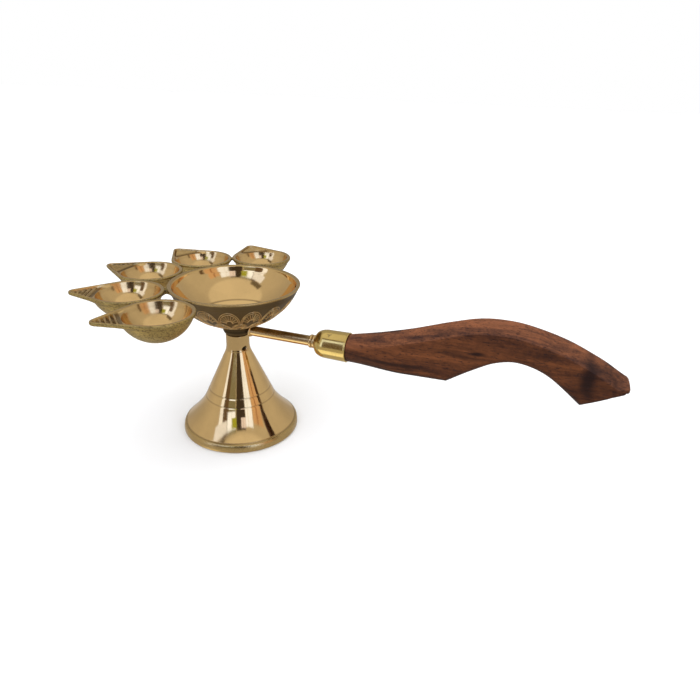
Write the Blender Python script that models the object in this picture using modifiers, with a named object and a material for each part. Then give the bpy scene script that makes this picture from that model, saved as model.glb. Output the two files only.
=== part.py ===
"""Five-wick brass hand lamp with a wooden handle, modelled in metres with +Z up.

A round centre bowl and five leaf-shaped cups stand on a bell foot. A rod runs from the boss
under the bowl to a ferrule and a carved wooden handle. The lamp is symmetric about Y = 0: the
handle points along +X and the cups fan out around -X. Everything hangs on one empty, so that
the origin is under the middle of the whole lamp.
"""
import math

import bmesh
import bpy
from mathutils import Matrix, Vector

# Running gap between pieces that touch
GAP = 0.0003

# Centre bowl: a spherical cap turned to a flat pad underneath
RIM_HEIGHT = 0.0820
BOWL_RADIUS = 0.0330
BOWL_DEPTH = 0.0225
BOWL_WALL = 0.0014
BOWL_PAD_CUT = 0.0008

# Leaf cups
CUP_COUNT = 5
CUP_RADIUS = 0.0168
CUP_TIP = 0.0271
CUP_TIP_ROUND = 0.0030
CUP_DEPTH = 0.0133
CUP_WALL = 0.0014
CUP_SHELF = 0.0014
CUP_LIP = 0.0012
CUP_LIP_FLAT = 0.0007
CUP_BASIN_MARGIN = 0.0022
CUP_RIM_GAP = 0.0010
CUP_SIDE_GAP = 0.0004
CUP_AXIS_STEP = math.radians(23.7)

# Brazed lugs
LUG_WIDTH = 0.0060
LUG_REACH = 0.0060
LUG_TOP = 0.0006
LUG_BOTTOM = 0.0034
BRIDGE_WIDTH = 0.0048
BRIDGE_INSET = 0.0026
BRIDGE_LENGTH = 0.0036

# Boss under the bowl
BOSS_RADIUS = 0.0075
BOSS_HEIGHT = 0.0050
BOSS_ROUND = 0.0016

# Bell foot
FOOT_RADIUS = 0.0312
FOOT_WALL = 0.0020
LIP_HEIGHT = 0.0050
LIP_TOP_RADIUS = 0.0294
LIP_BAND = 0.0015
FLARE_SLOPE = 1.05
CONE_BASE_RADIUS = 0.0184
CONE_BASE_HEIGHT = 0.0190
CONE_TOP_RADIUS = 0.0080
NECK_RADIUS = 0.0061
NECK_LENGTH = 0.0127
NECK_FILLET = 0.0025
BOLT_GRIP = 0.0152
GROOVE_WIDTH = 0.0008
GROOVE_DEPTH = 0.0003
GROOVE_HEIGHTS = (0.0236, 0.0192)
PIT_RADIUS = 0.0010
PIT_DEPTH = 0.0009
PIT_DROP = 0.0072
PIT_AZIMUTH = math.radians(-27.0)

# Foot bolt and washer
BOLT_RADIUS = 0.0025
BOLT_HEAD_RADIUS = 0.0046
BOLT_HEAD_HEIGHT = 0.0035
BOLT_HEAD_SIDES = 6
WASHER_RADIUS = 0.0052
WASHER_THICKNESS = 0.0008

# Rod, its braze ring and the collar at the ferrule
ROD_RADIUS = 0.00265
ROD_BOWL_CLEARANCE = 0.00045
ROD_IN_HANDLE = 0.0151
TENON_RADIUS = 0.00125
BRAZE_HEIGHT = 0.00065
BRAZE_LENGTH = 0.0009
COLLAR_WALL = 0.00045
COLLAR_ROUND = 0.00014
COLLAR_START = 0.0413
COLLAR_LENGTH = 0.0032

# Ferrule and its tack
FERRULE_LENGTH = 0.0171
FERRULE_RADIUS = 0.0075
FERRULE_DOME = 0.0060
FERRULE_WALL = 0.0008
FERRULE_TAPER = 0.0003
TACK_RADIUS = 0.0007
TACK_ROD_CLEARANCE = 0.0012
TACK_INSET = 0.0030

# Wooden handle
HANDLE_LENGTH = 0.1260
HANDLE_NECK_RADIUS = 0.0068
HANDLE_HALF_WIDTH = 0.0080
HANDLE_BLEND = 0.22
HANDLE_STEPS = 2
# Powers of the section's sine and cosine: 1 makes an ellipse and 0 a box
HANDLE_CROWN = 0.66
HANDLE_UNDERSIDE = 0.50
# Each pair is a share of the handle's length and a height above the rod's axis.
HANDLE_TOP = ((0.00, 0.0068), (0.12, 0.0107), (0.25, 0.0156), (0.38, 0.0214), (0.49, 0.0254),
              (0.59, 0.0262), (0.68, 0.0248), (0.79, 0.0211), (0.90, 0.0152), (0.96, 0.0110),
              (0.99, 0.0085), (1.00, 0.0073))
HANDLE_BOTTOM = ((0.00, -0.0068), (0.12, -0.0069), (0.25, -0.0063), (0.395, -0.0058), (0.48, 0.0016),
                 (0.56, 0.0073), (0.64, 0.0090), (0.74, 0.0051), (0.857, -0.0057), (0.93, -0.0012),
                 (0.985, 0.0036), (1.00, 0.0058))
HANDLE_CORNERS = (3, 8)

# Facets
TURN_STEPS = 36
SMALL_TURN_STEPS = 20
TINY_TURN_STEPS = 12
LEAF_STEPS = 32
BASIN_RINGS = 4
ARC_STEPS = 5
CAP_STEPS = 8
ROUND_STEPS = 4
FILLET_STEPS = 3
SECTION_POINTS = 20

SMOOTH_ANGLE = math.radians(35)
MERGE_DISTANCE = 0.00001

# Colour, roughness and metallic share
POLISHED_BRASS = ((0.72, 0.53, 0.24), 0.18, 1.0)
CAST_BRASS = ((0.50, 0.38, 0.17), 0.42, 1.0)
CARVED_WOOD = ((0.26, 0.09, 0.045), 0.45, 0.0)

# Worked out from the sizes above
BOWL_SPHERE = (BOWL_RADIUS ** 2 + BOWL_DEPTH ** 2) / (2 * BOWL_DEPTH)
BOWL_CENTRE_Z = RIM_HEIGHT - BOWL_DEPTH + BOWL_SPHERE
BOWL_PAD_Z = RIM_HEIGHT - BOWL_DEPTH + BOWL_PAD_CUT
BOSS_TOP = BOWL_PAD_Z - GAP
BOSS_BASE = BOSS_TOP - BOSS_HEIGHT
NECK_TOP = BOSS_BASE - GAP
CONE_TOP_HEIGHT = NECK_TOP - NECK_LENGTH
CEILING_HEIGHT = NECK_TOP - BOLT_GRIP
BOLT_HOLE = BOLT_RADIUS + GAP
CUP_DISTANCE = BOWL_RADIUS + CUP_RIM_GAP + CUP_RADIUS
CUP_STEP = 2 * math.asin((CUP_RADIUS + CUP_SIDE_GAP / 2) / CUP_DISTANCE)
ROD_HEIGHT = BOWL_PAD_Z - ROD_BOWL_CLEARANCE - ROD_RADIUS
ROD_START = BOSS_RADIUS + GAP
BRAZE_RADIUS = ROD_RADIUS + BRAZE_HEIGHT
COLLAR_RADIUS = ROD_RADIUS + GAP + COLLAR_WALL
FERRULE_START = COLLAR_START + COLLAR_LENGTH + GAP
FERRULE_RIM = FERRULE_START + FERRULE_LENGTH
ROD_END = FERRULE_RIM + ROD_IN_HANDLE
HANDLE_START = FERRULE_RIM
TACK_LENGTH = FERRULE_RADIUS - ROD_RADIUS - TACK_ROD_CLEARANCE
SPIGOT_LENGTH = FERRULE_LENGTH - FERRULE_DOME - FERRULE_WALL - GAP
LAMP_START = -(CUP_DISTANCE + CUP_TIP)
LAMP_END = HANDLE_START + HANDLE_LENGTH
LAMP_MIDDLE = (LAMP_START + LAMP_END) / 2


# --- scene helpers -------------------------------------------------------------------------

def clear_scene():
    for old in list(bpy.data.objects):
        bpy.data.objects.remove(old, do_unlink=True)


def new_collection(name):
    made = bpy.data.collections.new(name)
    bpy.context.scene.collection.children.link(made)
    return made


def new_material(name, colour, roughness, metallic):
    made = bpy.data.materials.new(name)
    made.use_nodes = True
    shader = made.node_tree.nodes["Principled BSDF"]
    shader.inputs["Base Color"].default_value = (*colour, 1.0)
    shader.inputs["Roughness"].default_value = roughness
    shader.inputs["Metallic"].default_value = metallic
    made.diffuse_color = (*colour, 1.0)
    return made


def polished_brass(name):
    return new_material(name + "_brass", *POLISHED_BRASS)


def cast_brass(name):
    return new_material(name + "_cast_brass", *CAST_BRASS)


def carved_wood(name):
    return new_material(name + "_wood", *CARVED_WOOD)


def add_object(name, mesh, collection, parent, material=None):
    made = bpy.data.objects.new(name, mesh)
    collection.objects.link(made)
    made.parent = parent
    if material is not None:
        mesh.materials.append(material)
    return made


def hide_cutter(cutter):
    cutter.hide_render = True
    cutter.display_type = "WIRE"


def cut(target, cutter):
    modifier = target.modifiers.new("cut_" + cutter.name, "BOOLEAN")
    modifier.operation = "DIFFERENCE"
    modifier.solver = "EXACT"
    modifier.object = cutter


def turned(name, profile, collection, parent, material=None, steps=TURN_STEPS, closed=False):
    """Turn a profile of (radius, height) points, which runs down the outer side, about Z."""
    mesh = bpy.data.meshes.new(name)
    edges = [(i, i + 1) for i in range(len(profile) - 1)]
    if closed:
        edges.append((len(profile) - 1, 0))
    mesh.from_pydata([(radius, 0.0, height) for radius, height in profile], edges, [])
    made = add_object(name, mesh, collection, parent, material)
    screw = made.modifiers.new("turn", "SCREW")
    screw.axis = "Z"
    screw.angle = 2 * math.pi
    screw.steps = steps
    screw.render_steps = steps
    screw.use_merge_vertices = True
    screw.merge_threshold = MERGE_DISTANCE
    screw.use_smooth_shade = True
    return made


def lay_along_x(made, start, height):
    """Stand a piece turned about Z on its side, with its local +Z pointing along +X."""
    made.location = (start, 0.0, height)
    made.rotation_euler = (0.0, math.pi / 2, 0.0)


def smooth(made):
    made.data.shade_smooth()
    made.data.set_sharp_from_angle(angle=SMOOTH_ANGLE)


def grown(profile, distance):
    """Move an open profile outwards, square to itself, when it runs down its outer side."""
    points = [Vector(point) for point in profile]
    result = []
    for i, point in enumerate(points):
        before = points[max(i - 1, 0)]
        after = points[min(i + 1, len(points) - 1)]
        run = (after - before).normalized()
        result.append((point.x - run.y * distance, point.y + run.x * distance))
    return result


def on_arc(centre, radius, start, end, steps):
    """Points on an arc in the (radius, height) plane, by angles from the +radius direction."""
    angles = [start + (end - start) * i / steps for i in range(steps + 1)]
    return [(centre[0] + radius * math.cos(a), centre[1] + radius * math.sin(a)) for a in angles]


def on_bend(start, bend, end, steps):
    """Points on a curve that leaves start towards the bend and reaches end from it."""
    shares = [i / steps for i in range(steps + 1)]
    return [tuple(start * (1 - t) ** 2 + bend * 2 * t * (1 - t) + end * t * t) for t in shares]


# --- centre bowl and boss ------------------------------------------------------------------

def cap_profile(sphere, centre_z, top_z, flat_z, steps):
    """The outside of a spherical cap, from its rim down to its flat."""
    start = math.asin((top_z - centre_z) / sphere)
    end = math.asin(max(-1.0, (flat_z - centre_z) / sphere))
    return on_arc((0.0, centre_z), sphere, start, end, steps)


def bowl_outside():
    return cap_profile(BOWL_SPHERE, BOWL_CENTRE_Z, RIM_HEIGHT, BOWL_PAD_Z, CAP_STEPS)


def make_bowl(parts, root):
    inner_sphere = BOWL_SPHERE - BOWL_WALL
    inside = cap_profile(inner_sphere, BOWL_CENTRE_Z, RIM_HEIGHT, BOWL_PAD_Z + BOWL_WALL,
                         CAP_STEPS)
    profile = bowl_outside() + [(0.0, BOWL_PAD_Z), (0.0, BOWL_PAD_Z + BOWL_WALL)] + inside[::-1]
    turned("centre_bowl", profile, parts, root, polished_brass("bowl"), closed=True)


def make_boss(parts, cutters, root):
    rounded = on_arc((BOSS_RADIUS - BOSS_ROUND, BOSS_BASE + BOSS_ROUND), BOSS_ROUND,
                     0.0, -math.pi / 2, ROUND_STEPS)
    profile = [(BOLT_HOLE, BOSS_TOP), (BOSS_RADIUS, BOSS_TOP)] + rounded + [(BOLT_HOLE, BOSS_BASE)]
    boss = turned("bowl_boss", profile, parts, root, cast_brass("boss"), closed=True)
    hole = TENON_RADIUS + GAP
    depth = 2 * BOSS_RADIUS
    tenon_hole = turned("tenon_hole_cutter", [(0.0, depth), (hole, depth), (hole, 0.0), (0.0, 0.0)],
                        cutters, root, steps=TINY_TURN_STEPS)
    lay_along_x(tenon_hole, 0.0, ROD_HEIGHT)
    hide_cutter(tenon_hole)
    cut(boss, tenon_hole)


# --- leaf cups -----------------------------------------------------------------------------

def leaf_reach(angle, inset):
    """Distance from the basin's centre to the leaf's edge, moved in by inset."""
    radius = CUP_RADIUS - inset
    nose = CUP_TIP_ROUND - inset
    nose_centre = CUP_TIP - CUP_TIP_ROUND
    tangent = math.acos((radius - nose) / nose_centre)
    nose_end = math.atan2(nose * math.sin(tangent), nose_centre + nose * math.cos(tangent))
    turn = abs(math.atan2(math.sin(angle), math.cos(angle)))
    if turn >= tangent:
        return radius
    if turn >= nose_end:
        return radius / math.cos(turn - tangent)
    across = nose_centre * math.sin(turn)
    return nose_centre * math.cos(turn) + math.sqrt(nose ** 2 - across ** 2)


def basin_sphere():
    """Radius and centre height of the basin's inside, with the rim at height 0."""
    edge = CUP_RADIUS - CUP_BASIN_MARGIN
    fall = CUP_DEPTH - CUP_WALL - CUP_SHELF
    sphere = (edge ** 2 + fall ** 2) / (2 * fall)
    return sphere, sphere - CUP_DEPTH + CUP_WALL


def leaf_mesh():
    """The open inside of a leaf cup: lip, shelf and round basin, ring by ring."""
    sphere, centre_z = basin_sphere()
    edge = CUP_RADIUS - CUP_BASIN_MARGIN
    angles = [2 * math.pi * i / LEAF_STEPS for i in range(LEAF_STEPS)]

    def leaf_ring(inset, height):
        return [(leaf_reach(a, inset), height) for a in angles]

    rings = [leaf_ring(0.0, 0.0), leaf_ring(CUP_LIP_FLAT, 0.0), leaf_ring(CUP_LIP, -CUP_SHELF)]
    opening = math.asin(edge / sphere)
    for i in range(BASIN_RINGS):
        tilt = opening * (1 - i / BASIN_RINGS)
        ring = (sphere * math.sin(tilt), centre_z - sphere * math.cos(tilt))
        rings.append([ring] * LEAF_STEPS)

    shape = bmesh.new()
    rows = []
    for ring in rings:
        rows.append([shape.verts.new((reach * math.cos(a), reach * math.sin(a), height))
                     for a, (reach, height) in zip(angles, ring)])
    for outer, inner in zip(rows, rows[1:]):
        for i in range(LEAF_STEPS):
            j = (i + 1) % LEAF_STEPS
            shape.faces.new((outer[i], outer[j], inner[j], inner[i]))
    floor = shape.verts.new((0.0, 0.0, centre_z - sphere))
    for i in range(LEAF_STEPS):
        shape.faces.new((rows[-1][i], rows[-1][(i + 1) % LEAF_STEPS], floor))
    mesh = bpy.data.meshes.new("leaf_cup")
    shape.to_mesh(mesh)
    shape.free()
    return mesh


def cup_angle(index):
    return math.pi + (index - (CUP_COUNT - 1) / 2) * CUP_STEP


def cup_turn(index):
    return math.pi + (index - (CUP_COUNT - 1) / 2) * CUP_AXIS_STEP


def cup_centre(index):
    angle = cup_angle(index)
    return Vector((CUP_DISTANCE * math.cos(angle), CUP_DISTANCE * math.sin(angle), RIM_HEIGHT))


def make_cups(parts, root):
    mesh = leaf_mesh()
    mesh.materials.append(cast_brass("cup"))
    for i in range(CUP_COUNT):
        cup = add_object(f"leaf_cup_{i + 1}", mesh, parts, root)
        cup.location = cup_centre(i)
        cup.rotation_euler = (0.0, 0.0, cup_turn(i))
        shell = cup.modifiers.new("wall", "SOLIDIFY")
        shell.thickness = CUP_WALL
        shell.offset = -1.0
    smooth(cup)


# --- brazed lugs between the cups and the bowl ---------------------------------------------

def make_cup_envelopes(cutters, root):
    """Solid outsides of the cups' round ends, grown by the gap, that trim the lugs."""
    sphere, centre_z = basin_sphere()
    outside = sphere + CUP_WALL + GAP
    shelf_z = -CUP_SHELF - CUP_WALL - GAP
    rim = CUP_RADIUS + GAP
    below = on_arc((0.0, centre_z), outside, math.asin((shelf_z - centre_z) / outside),
                   -math.pi / 2, CAP_STEPS)
    profile = [(0.0, LUG_REACH), (rim, LUG_REACH), (rim, shelf_z)] + below
    envelopes = []
    for i in range(CUP_COUNT):
        envelope = turned(f"cup_envelope_{i + 1}", profile, cutters, root)
        envelope.location = cup_centre(i)
        hide_cutter(envelope)
        envelopes.append(envelope)
    return envelopes


def make_bowl_envelope(cutters, root):
    outside = grown(bowl_outside(), GAP)
    top = RIM_HEIGHT + LUG_REACH
    profile = [(0.0, top), (outside[0][0], top)] + outside + [(0.0, outside[-1][1])]
    envelope = turned("bowl_envelope", profile, cutters, root)
    hide_cutter(envelope)
    return envelope


def box_mesh(name, length, width, low, high):
    """A box centred on X and Y between two heights."""
    shape = bmesh.new()
    bmesh.ops.create_cube(shape, size=1.0)
    bmesh.ops.scale(shape, vec=(length, width, high - low), verts=shape.verts)
    bmesh.ops.translate(shape, vec=(0.0, 0.0, (high + low) / 2), verts=shape.verts)
    mesh = bpy.data.meshes.new(name)
    shape.to_mesh(mesh)
    shape.free()
    return mesh


def make_lugs(parts, root, bowl_envelope, cup_envelopes):
    """One lug joins each cup to the bowl just under their rims."""
    middle = BOWL_RADIUS + CUP_RIM_GAP / 2
    mesh = box_mesh("cup_lug", 2 * LUG_REACH, LUG_WIDTH, -LUG_BOTTOM, -LUG_TOP)
    for i in range(CUP_COUNT):
        angle = cup_angle(i)
        name = f"cup_lug_{i + 1}"
        lug = add_object(name, mesh.copy(), parts, root, cast_brass(name))
        lug.location = (middle * math.cos(angle), middle * math.sin(angle), RIM_HEIGHT)
        lug.rotation_euler = (0.0, 0.0, angle)
        cut(lug, bowl_envelope)
        cut(lug, cup_envelopes[i])


def make_bridges(parts, root, cup_envelopes):
    """A wedge joins each pair of neighbouring cups at their rims, on the side of the bowl."""
    meeting = CUP_DISTANCE * math.cos(CUP_STEP / 2)
    middle = meeting - BRIDGE_INSET - BRIDGE_LENGTH / 2
    mesh = box_mesh("cup_bridge", BRIDGE_LENGTH, BRIDGE_WIDTH, -(CUP_SHELF + CUP_WALL), -LUG_TOP)
    for i in range(CUP_COUNT - 1):
        angle = (cup_angle(i) + cup_angle(i + 1)) / 2
        name = f"cup_bridge_{i + 1}"
        bridge = add_object(name, mesh.copy(), parts, root, cast_brass(name))
        bridge.location = (middle * math.cos(angle), middle * math.sin(angle), RIM_HEIGHT)
        bridge.rotation_euler = (0.0, 0.0, angle)
        cut(bridge, cup_envelopes[i])
        cut(bridge, cup_envelopes[i + 1])


# --- bell foot, its bolt and washer --------------------------------------------------------

def cone_radius(height):
    share = (height - CONE_BASE_HEIGHT) / (CONE_TOP_HEIGHT - CONE_BASE_HEIGHT)
    return CONE_BASE_RADIUS + (CONE_TOP_RADIUS - CONE_BASE_RADIUS) * share


def cone_slope():
    """Radius gained for each metre down the cone."""
    return (CONE_BASE_RADIUS - CONE_TOP_RADIUS) / (CONE_TOP_HEIGHT - CONE_BASE_HEIGHT)


def flare_points():
    """A curve that leaves the cone along its slope and meets the lip at the flare's slope."""
    slope = cone_slope()
    fall = CONE_BASE_HEIGHT - LIP_HEIGHT
    spread = LIP_TOP_RADIUS - CONE_BASE_RADIUS
    drop = (FLARE_SLOPE * fall - spread) / (FLARE_SLOPE - slope)
    bend = Vector((CONE_BASE_RADIUS + slope * drop, CONE_BASE_HEIGHT - drop))
    start = Vector((CONE_BASE_RADIUS, CONE_BASE_HEIGHT))
    end = Vector((LIP_TOP_RADIUS, LIP_HEIGHT))
    return on_bend(start, bend, end, ARC_STEPS)


def neck_points():
    """The neck's straight side and its soft turn into the cone."""
    slope = cone_slope()
    corner = CONE_TOP_HEIGHT + (CONE_TOP_RADIUS - NECK_RADIUS) / slope
    start = Vector((NECK_RADIUS, corner + NECK_FILLET))
    bend = Vector((NECK_RADIUS, corner))
    end = Vector((NECK_RADIUS + slope * NECK_FILLET, corner - NECK_FILLET))
    return [(NECK_RADIUS, NECK_TOP)] + on_bend(start, bend, end, FILLET_STEPS)


def groove_points(height):
    half = GROOVE_WIDTH / 2
    return [(cone_radius(height + half), height + half),
            (cone_radius(height) - GROOVE_DEPTH, height),
            (cone_radius(height - half), height - half)]


def foot_outside(with_grooves):
    points = neck_points()
    if with_grooves:
        for height in GROOVE_HEIGHTS:
            points += groove_points(height)
    points += flare_points()
    return points + [(FOOT_RADIUS, LIP_BAND), (FOOT_RADIUS, 0.0)]


def foot_inside():
    """The hollow, one wall inside the bell, from the rim up to the flat ceiling."""
    wall = grown(foot_outside(False), -FOOT_WALL)[:-1]
    bell = [point for point in wall if point[1] < CEILING_HEIGHT - FOOT_WALL / 2]
    mouth = (bell[-1][0], 0.0)
    top = cone_radius(CEILING_HEIGHT) - FOOT_WALL * math.sqrt(1 + cone_slope() ** 2)
    return [mouth] + bell[::-1] + [(top, CEILING_HEIGHT)]


def make_foot(parts, cutters, root):
    hole = [(BOLT_HOLE, CEILING_HEIGHT), (BOLT_HOLE, NECK_TOP)]
    profile = foot_outside(True) + foot_inside() + hole
    foot = turned("bell_foot", profile, parts, root, polished_brass("foot"), closed=True)
    pit = turned("pit_cutter", [(0.0, PIT_DEPTH), (PIT_RADIUS, PIT_DEPTH),
                                (PIT_RADIUS, -PIT_DEPTH), (0.0, -PIT_DEPTH)],
                 cutters, root, steps=TINY_TURN_STEPS)
    pit.location = (NECK_RADIUS * math.cos(PIT_AZIMUTH), NECK_RADIUS * math.sin(PIT_AZIMUTH),
                    NECK_TOP - PIT_DROP)
    pit.rotation_euler = (0.0, math.pi / 2, PIT_AZIMUTH)
    hide_cutter(pit)
    cut(foot, pit)


def make_foot_bolt(parts, cutters, root):
    washer_top = CEILING_HEIGHT - GAP
    washer_base = washer_top - WASHER_THICKNESS
    ring = [(BOLT_HOLE, washer_top), (WASHER_RADIUS, washer_top),
            (WASHER_RADIUS, washer_base), (BOLT_HOLE, washer_base)]
    turned("foot_washer", ring, parts, root, polished_brass("washer"),
           steps=SMALL_TURN_STEPS, closed=True)
    head_top = washer_base - GAP
    shape = bmesh.new()
    place = Matrix.Translation((0.0, 0.0, head_top - BOLT_HEAD_HEIGHT / 2))
    bmesh.ops.create_cone(shape, cap_ends=True, segments=BOLT_HEAD_SIDES,
                          radius1=BOLT_HEAD_RADIUS, radius2=BOLT_HEAD_RADIUS,
                          depth=BOLT_HEAD_HEIGHT, matrix=place)
    mesh = bpy.data.meshes.new("foot_bolt")
    shape.to_mesh(mesh)
    shape.free()
    bolt = add_object("foot_bolt", mesh, parts, root, polished_brass("bolt"))
    shank_top = BOSS_TOP - GAP
    shank_base = head_top - BOLT_HEAD_HEIGHT / 2
    shank = turned("bolt_shank_tool", [(0.0, shank_top), (BOLT_RADIUS, shank_top),
                                       (BOLT_RADIUS, shank_base), (0.0, shank_base)],
                   cutters, root, steps=SMALL_TURN_STEPS)
    hide_cutter(shank)
    join = bolt.modifiers.new("shank", "BOOLEAN")
    join.operation = "UNION"
    join.solver = "EXACT"
    join.object = shank


# --- rod, collar and ferrule ---------------------------------------------------------------

def along_rod(name, profile, parts, root, material, start, closed=False):
    made = turned(name, profile, parts, root, material, steps=SMALL_TURN_STEPS, closed=closed)
    lay_along_x(made, start, ROD_HEIGHT)
    return made


def make_rod(parts, root):
    """A rod with a thin tenon in the boss and a plain end in the handle."""
    tenon_start = BOLT_HOLE + GAP
    full = ROD_END - tenon_start
    shoulder = ROD_START - tenon_start
    profile = [(0.0, full), (ROD_RADIUS, full), (ROD_RADIUS, shoulder + BRAZE_LENGTH + GAP),
               (TENON_RADIUS, shoulder + BRAZE_LENGTH + GAP), (TENON_RADIUS, 0.0), (0.0, 0.0)]
    along_rod("handle_rod", profile, parts, root, polished_brass("rod"), tenon_start)
    inner = TENON_RADIUS + GAP
    ring = [(inner, BRAZE_LENGTH), (BRAZE_RADIUS, BRAZE_LENGTH), (BRAZE_RADIUS, 0.0), (inner, 0.0)]
    along_rod("rod_braze_ring", ring, parts, root, polished_brass("braze"), ROD_START, closed=True)
    inner = ROD_RADIUS + GAP
    edge = COLLAR_RADIUS - COLLAR_ROUND
    ring = [(inner, COLLAR_LENGTH), (edge, COLLAR_LENGTH),
            (COLLAR_RADIUS, COLLAR_LENGTH - COLLAR_ROUND), (COLLAR_RADIUS, COLLAR_ROUND),
            (edge, 0.0), (inner, 0.0)]
    along_rod("rod_collar", ring, parts, root, polished_brass("collar"), COLLAR_START, closed=True)


def ferrule_side():
    """The ferrule's outside from its open rim back to the dome's end, as local heights."""
    neck = COLLAR_RADIUS + GAP
    dome_edge = FERRULE_RADIUS - FERRULE_TAPER
    points = [(FERRULE_RADIUS, FERRULE_LENGTH), (dome_edge, FERRULE_DOME)]
    for i in range(1, ARC_STEPS + 1):
        angle = math.pi / 2 * i / ARC_STEPS
        points.append((neck + (dome_edge - neck) * math.cos(angle),
                       FERRULE_DOME * (1 - math.sin(angle))))
    return points


def ferrule_bore():
    """Radius inside the ferrule's straight part."""
    return FERRULE_RADIUS - FERRULE_TAPER - FERRULE_WALL


def make_ferrule(parts, cutters, root):
    hole = ROD_RADIUS + GAP
    bore = ferrule_bore()
    inside = [(hole, 0.0), (hole, FERRULE_DOME - FERRULE_WALL), (bore - FERRULE_WALL, FERRULE_DOME),
              (bore, FERRULE_DOME + FERRULE_WALL), (bore, FERRULE_LENGTH)]
    ferrule = along_rod("ferrule", ferrule_side() + inside, parts, root, polished_brass("ferrule"),
                        FERRULE_START, closed=True)
    tack_x = FERRULE_RIM - TACK_INSET
    outside = ROD_HEIGHT - FERRULE_RADIUS
    shape = [(0.0, TACK_LENGTH), (TACK_RADIUS, TACK_LENGTH), (TACK_RADIUS, 0.0), (0.0, 0.0)]
    tack = turned("ferrule_tack", shape, parts, root, cast_brass("tack"), steps=TINY_TURN_STEPS)
    tack.location = (tack_x, 0.0, outside)
    hole = TACK_RADIUS + GAP
    deep = TACK_LENGTH + 2 * GAP
    shape = [(0.0, deep), (hole, deep), (hole, -FERRULE_WALL), (0.0, -FERRULE_WALL)]
    tack_hole = turned("tack_hole_cutter", shape, cutters, root, steps=TINY_TURN_STEPS)
    tack_hole.location = (tack_x, 0.0, outside)
    hide_cutter(tack_hole)
    cut(ferrule, tack_hole)
    return tack_hole


# --- wooden handle -------------------------------------------------------------------------

def blend(p0, p1, p2, p3, t):
    """A point on the Catmull-Rom curve between p1 and p2."""
    return 0.5 * ((2 * p1) + (p2 - p0) * t + (2 * p0 - 5 * p1 + 4 * p2 - p3) * t * t
                  + (3 * p1 - p0 - 3 * p2 + p3) * t ** 3)


def spline(points, corners):
    """A curve through points given as (share of the handle, height), sharp at the corners."""
    places = [Vector((HANDLE_START + share * HANDLE_LENGTH, ROD_HEIGHT + up)) for share, up in points]
    last = len(places) - 1
    result = [places[0]]
    for i in range(last):
        before = places[i] if i == 0 or i in corners else places[i - 1]
        after = places[i + 1] if i + 1 == last or i + 1 in corners else places[i + 2]
        for step in range(1, HANDLE_STEPS + 1):
            result.append(blend(before, places[i], places[i + 1], after, step / HANDLE_STEPS))
    return result


def section_ring(shape, top, bottom, half_width, squareness):
    """A ring of vertices: an ellipse when squareness is 0, and a rounded plank when it is 1."""
    middle = (top + bottom) / 2
    half = (top - bottom) / 2
    ring = []
    for i in range(SECTION_POINTS):
        angle = 2 * math.pi * i / SECTION_POINTS
        softness = HANDLE_CROWN if math.sin(angle) > 0.0 else HANDLE_UNDERSIDE
        power = 1.0 - (1.0 - softness) * squareness
        side = math.copysign(abs(math.cos(angle)) ** power, math.cos(angle))
        rise = math.copysign(abs(math.sin(angle)) ** power, math.sin(angle))
        place = middle + half * rise
        ring.append(shape.verts.new((place.x, half_width * side, place.y)))
    return ring


def make_handle(parts, cutters, root, tack_hole):
    shape = bmesh.new()
    spigot = ferrule_bore() - GAP
    spigot_start = HANDLE_START - SPIGOT_LENGTH
    top = Vector((spigot_start, ROD_HEIGHT + spigot))
    bottom = Vector((spigot_start, ROD_HEIGHT - spigot))
    rings = [section_ring(shape, top, bottom, spigot, 0.0)]
    step = Vector((SPIGOT_LENGTH + GAP, 0.0))
    rings.append(section_ring(shape, top + step, bottom + step, spigot, 0.0))
    tops = spline(HANDLE_TOP, ())
    bottoms = spline(HANDLE_BOTTOM, HANDLE_CORNERS)
    for top, bottom in zip(tops, bottoms):
        share = (min(top.x, bottom.x) - HANDLE_START) / HANDLE_LENGTH
        ease = min(1.0, max(0.0, share) / HANDLE_BLEND)
        ease = ease * ease * (3 - 2 * ease)
        width = HANDLE_NECK_RADIUS + (HANDLE_HALF_WIDTH - HANDLE_NECK_RADIUS) * ease
        lift = Vector((GAP, 0.0)) if share <= 0.0 else Vector((0.0, 0.0))
        rings.append(section_ring(shape, top + lift, bottom + lift, width, ease))
    for near, far in zip(rings, rings[1:]):
        for i in range(SECTION_POINTS):
            j = (i + 1) % SECTION_POINTS
            shape.faces.new((near[i], near[j], far[j], far[i]))
    shape.faces.new(rings[0][::-1])
    shape.faces.new(rings[-1])
    mesh = bpy.data.meshes.new("wooden_handle")
    bmesh.ops.recalc_face_normals(shape, faces=shape.faces)
    shape.to_mesh(mesh)
    shape.free()
    handle = add_object("wooden_handle", mesh, parts, root, carved_wood("handle"))
    smooth(handle)
    hole = ROD_RADIUS + GAP
    rod_hole = turned("rod_hole_cutter", [(0.0, ROD_END + GAP), (hole, ROD_END + GAP), (hole, 0.0),
                                          (0.0, 0.0)], cutters, root, steps=SMALL_TURN_STEPS)
    lay_along_x(rod_hole, 0.0, ROD_HEIGHT)
    hide_cutter(rod_hole)
    cut(handle, rod_hole)
    cut(handle, tack_hole)


def main():
    clear_scene()
    parts = new_collection("hand_aarti_lamp")
    cutters = new_collection("cutters")
    root = bpy.data.objects.new("lamp_origin", None)
    cutters.objects.link(root)
    root.location = (-LAMP_MIDDLE, 0.0, 0.0)
    make_bowl(parts, root)
    make_boss(parts, cutters, root)
    make_cups(parts, root)
    bowl_envelope = make_bowl_envelope(cutters, root)
    cup_envelopes = make_cup_envelopes(cutters, root)
    make_lugs(parts, root, bowl_envelope, cup_envelopes)
    make_bridges(parts, root, cup_envelopes)
    make_foot(parts, cutters, root)
    make_foot_bolt(parts, cutters, root)
    make_rod(parts, root)
    tack_hole = make_ferrule(parts, cutters, root)
    make_handle(parts, cutters, root, tack_hole)


if __name__ == "__main__":
    main()
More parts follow.
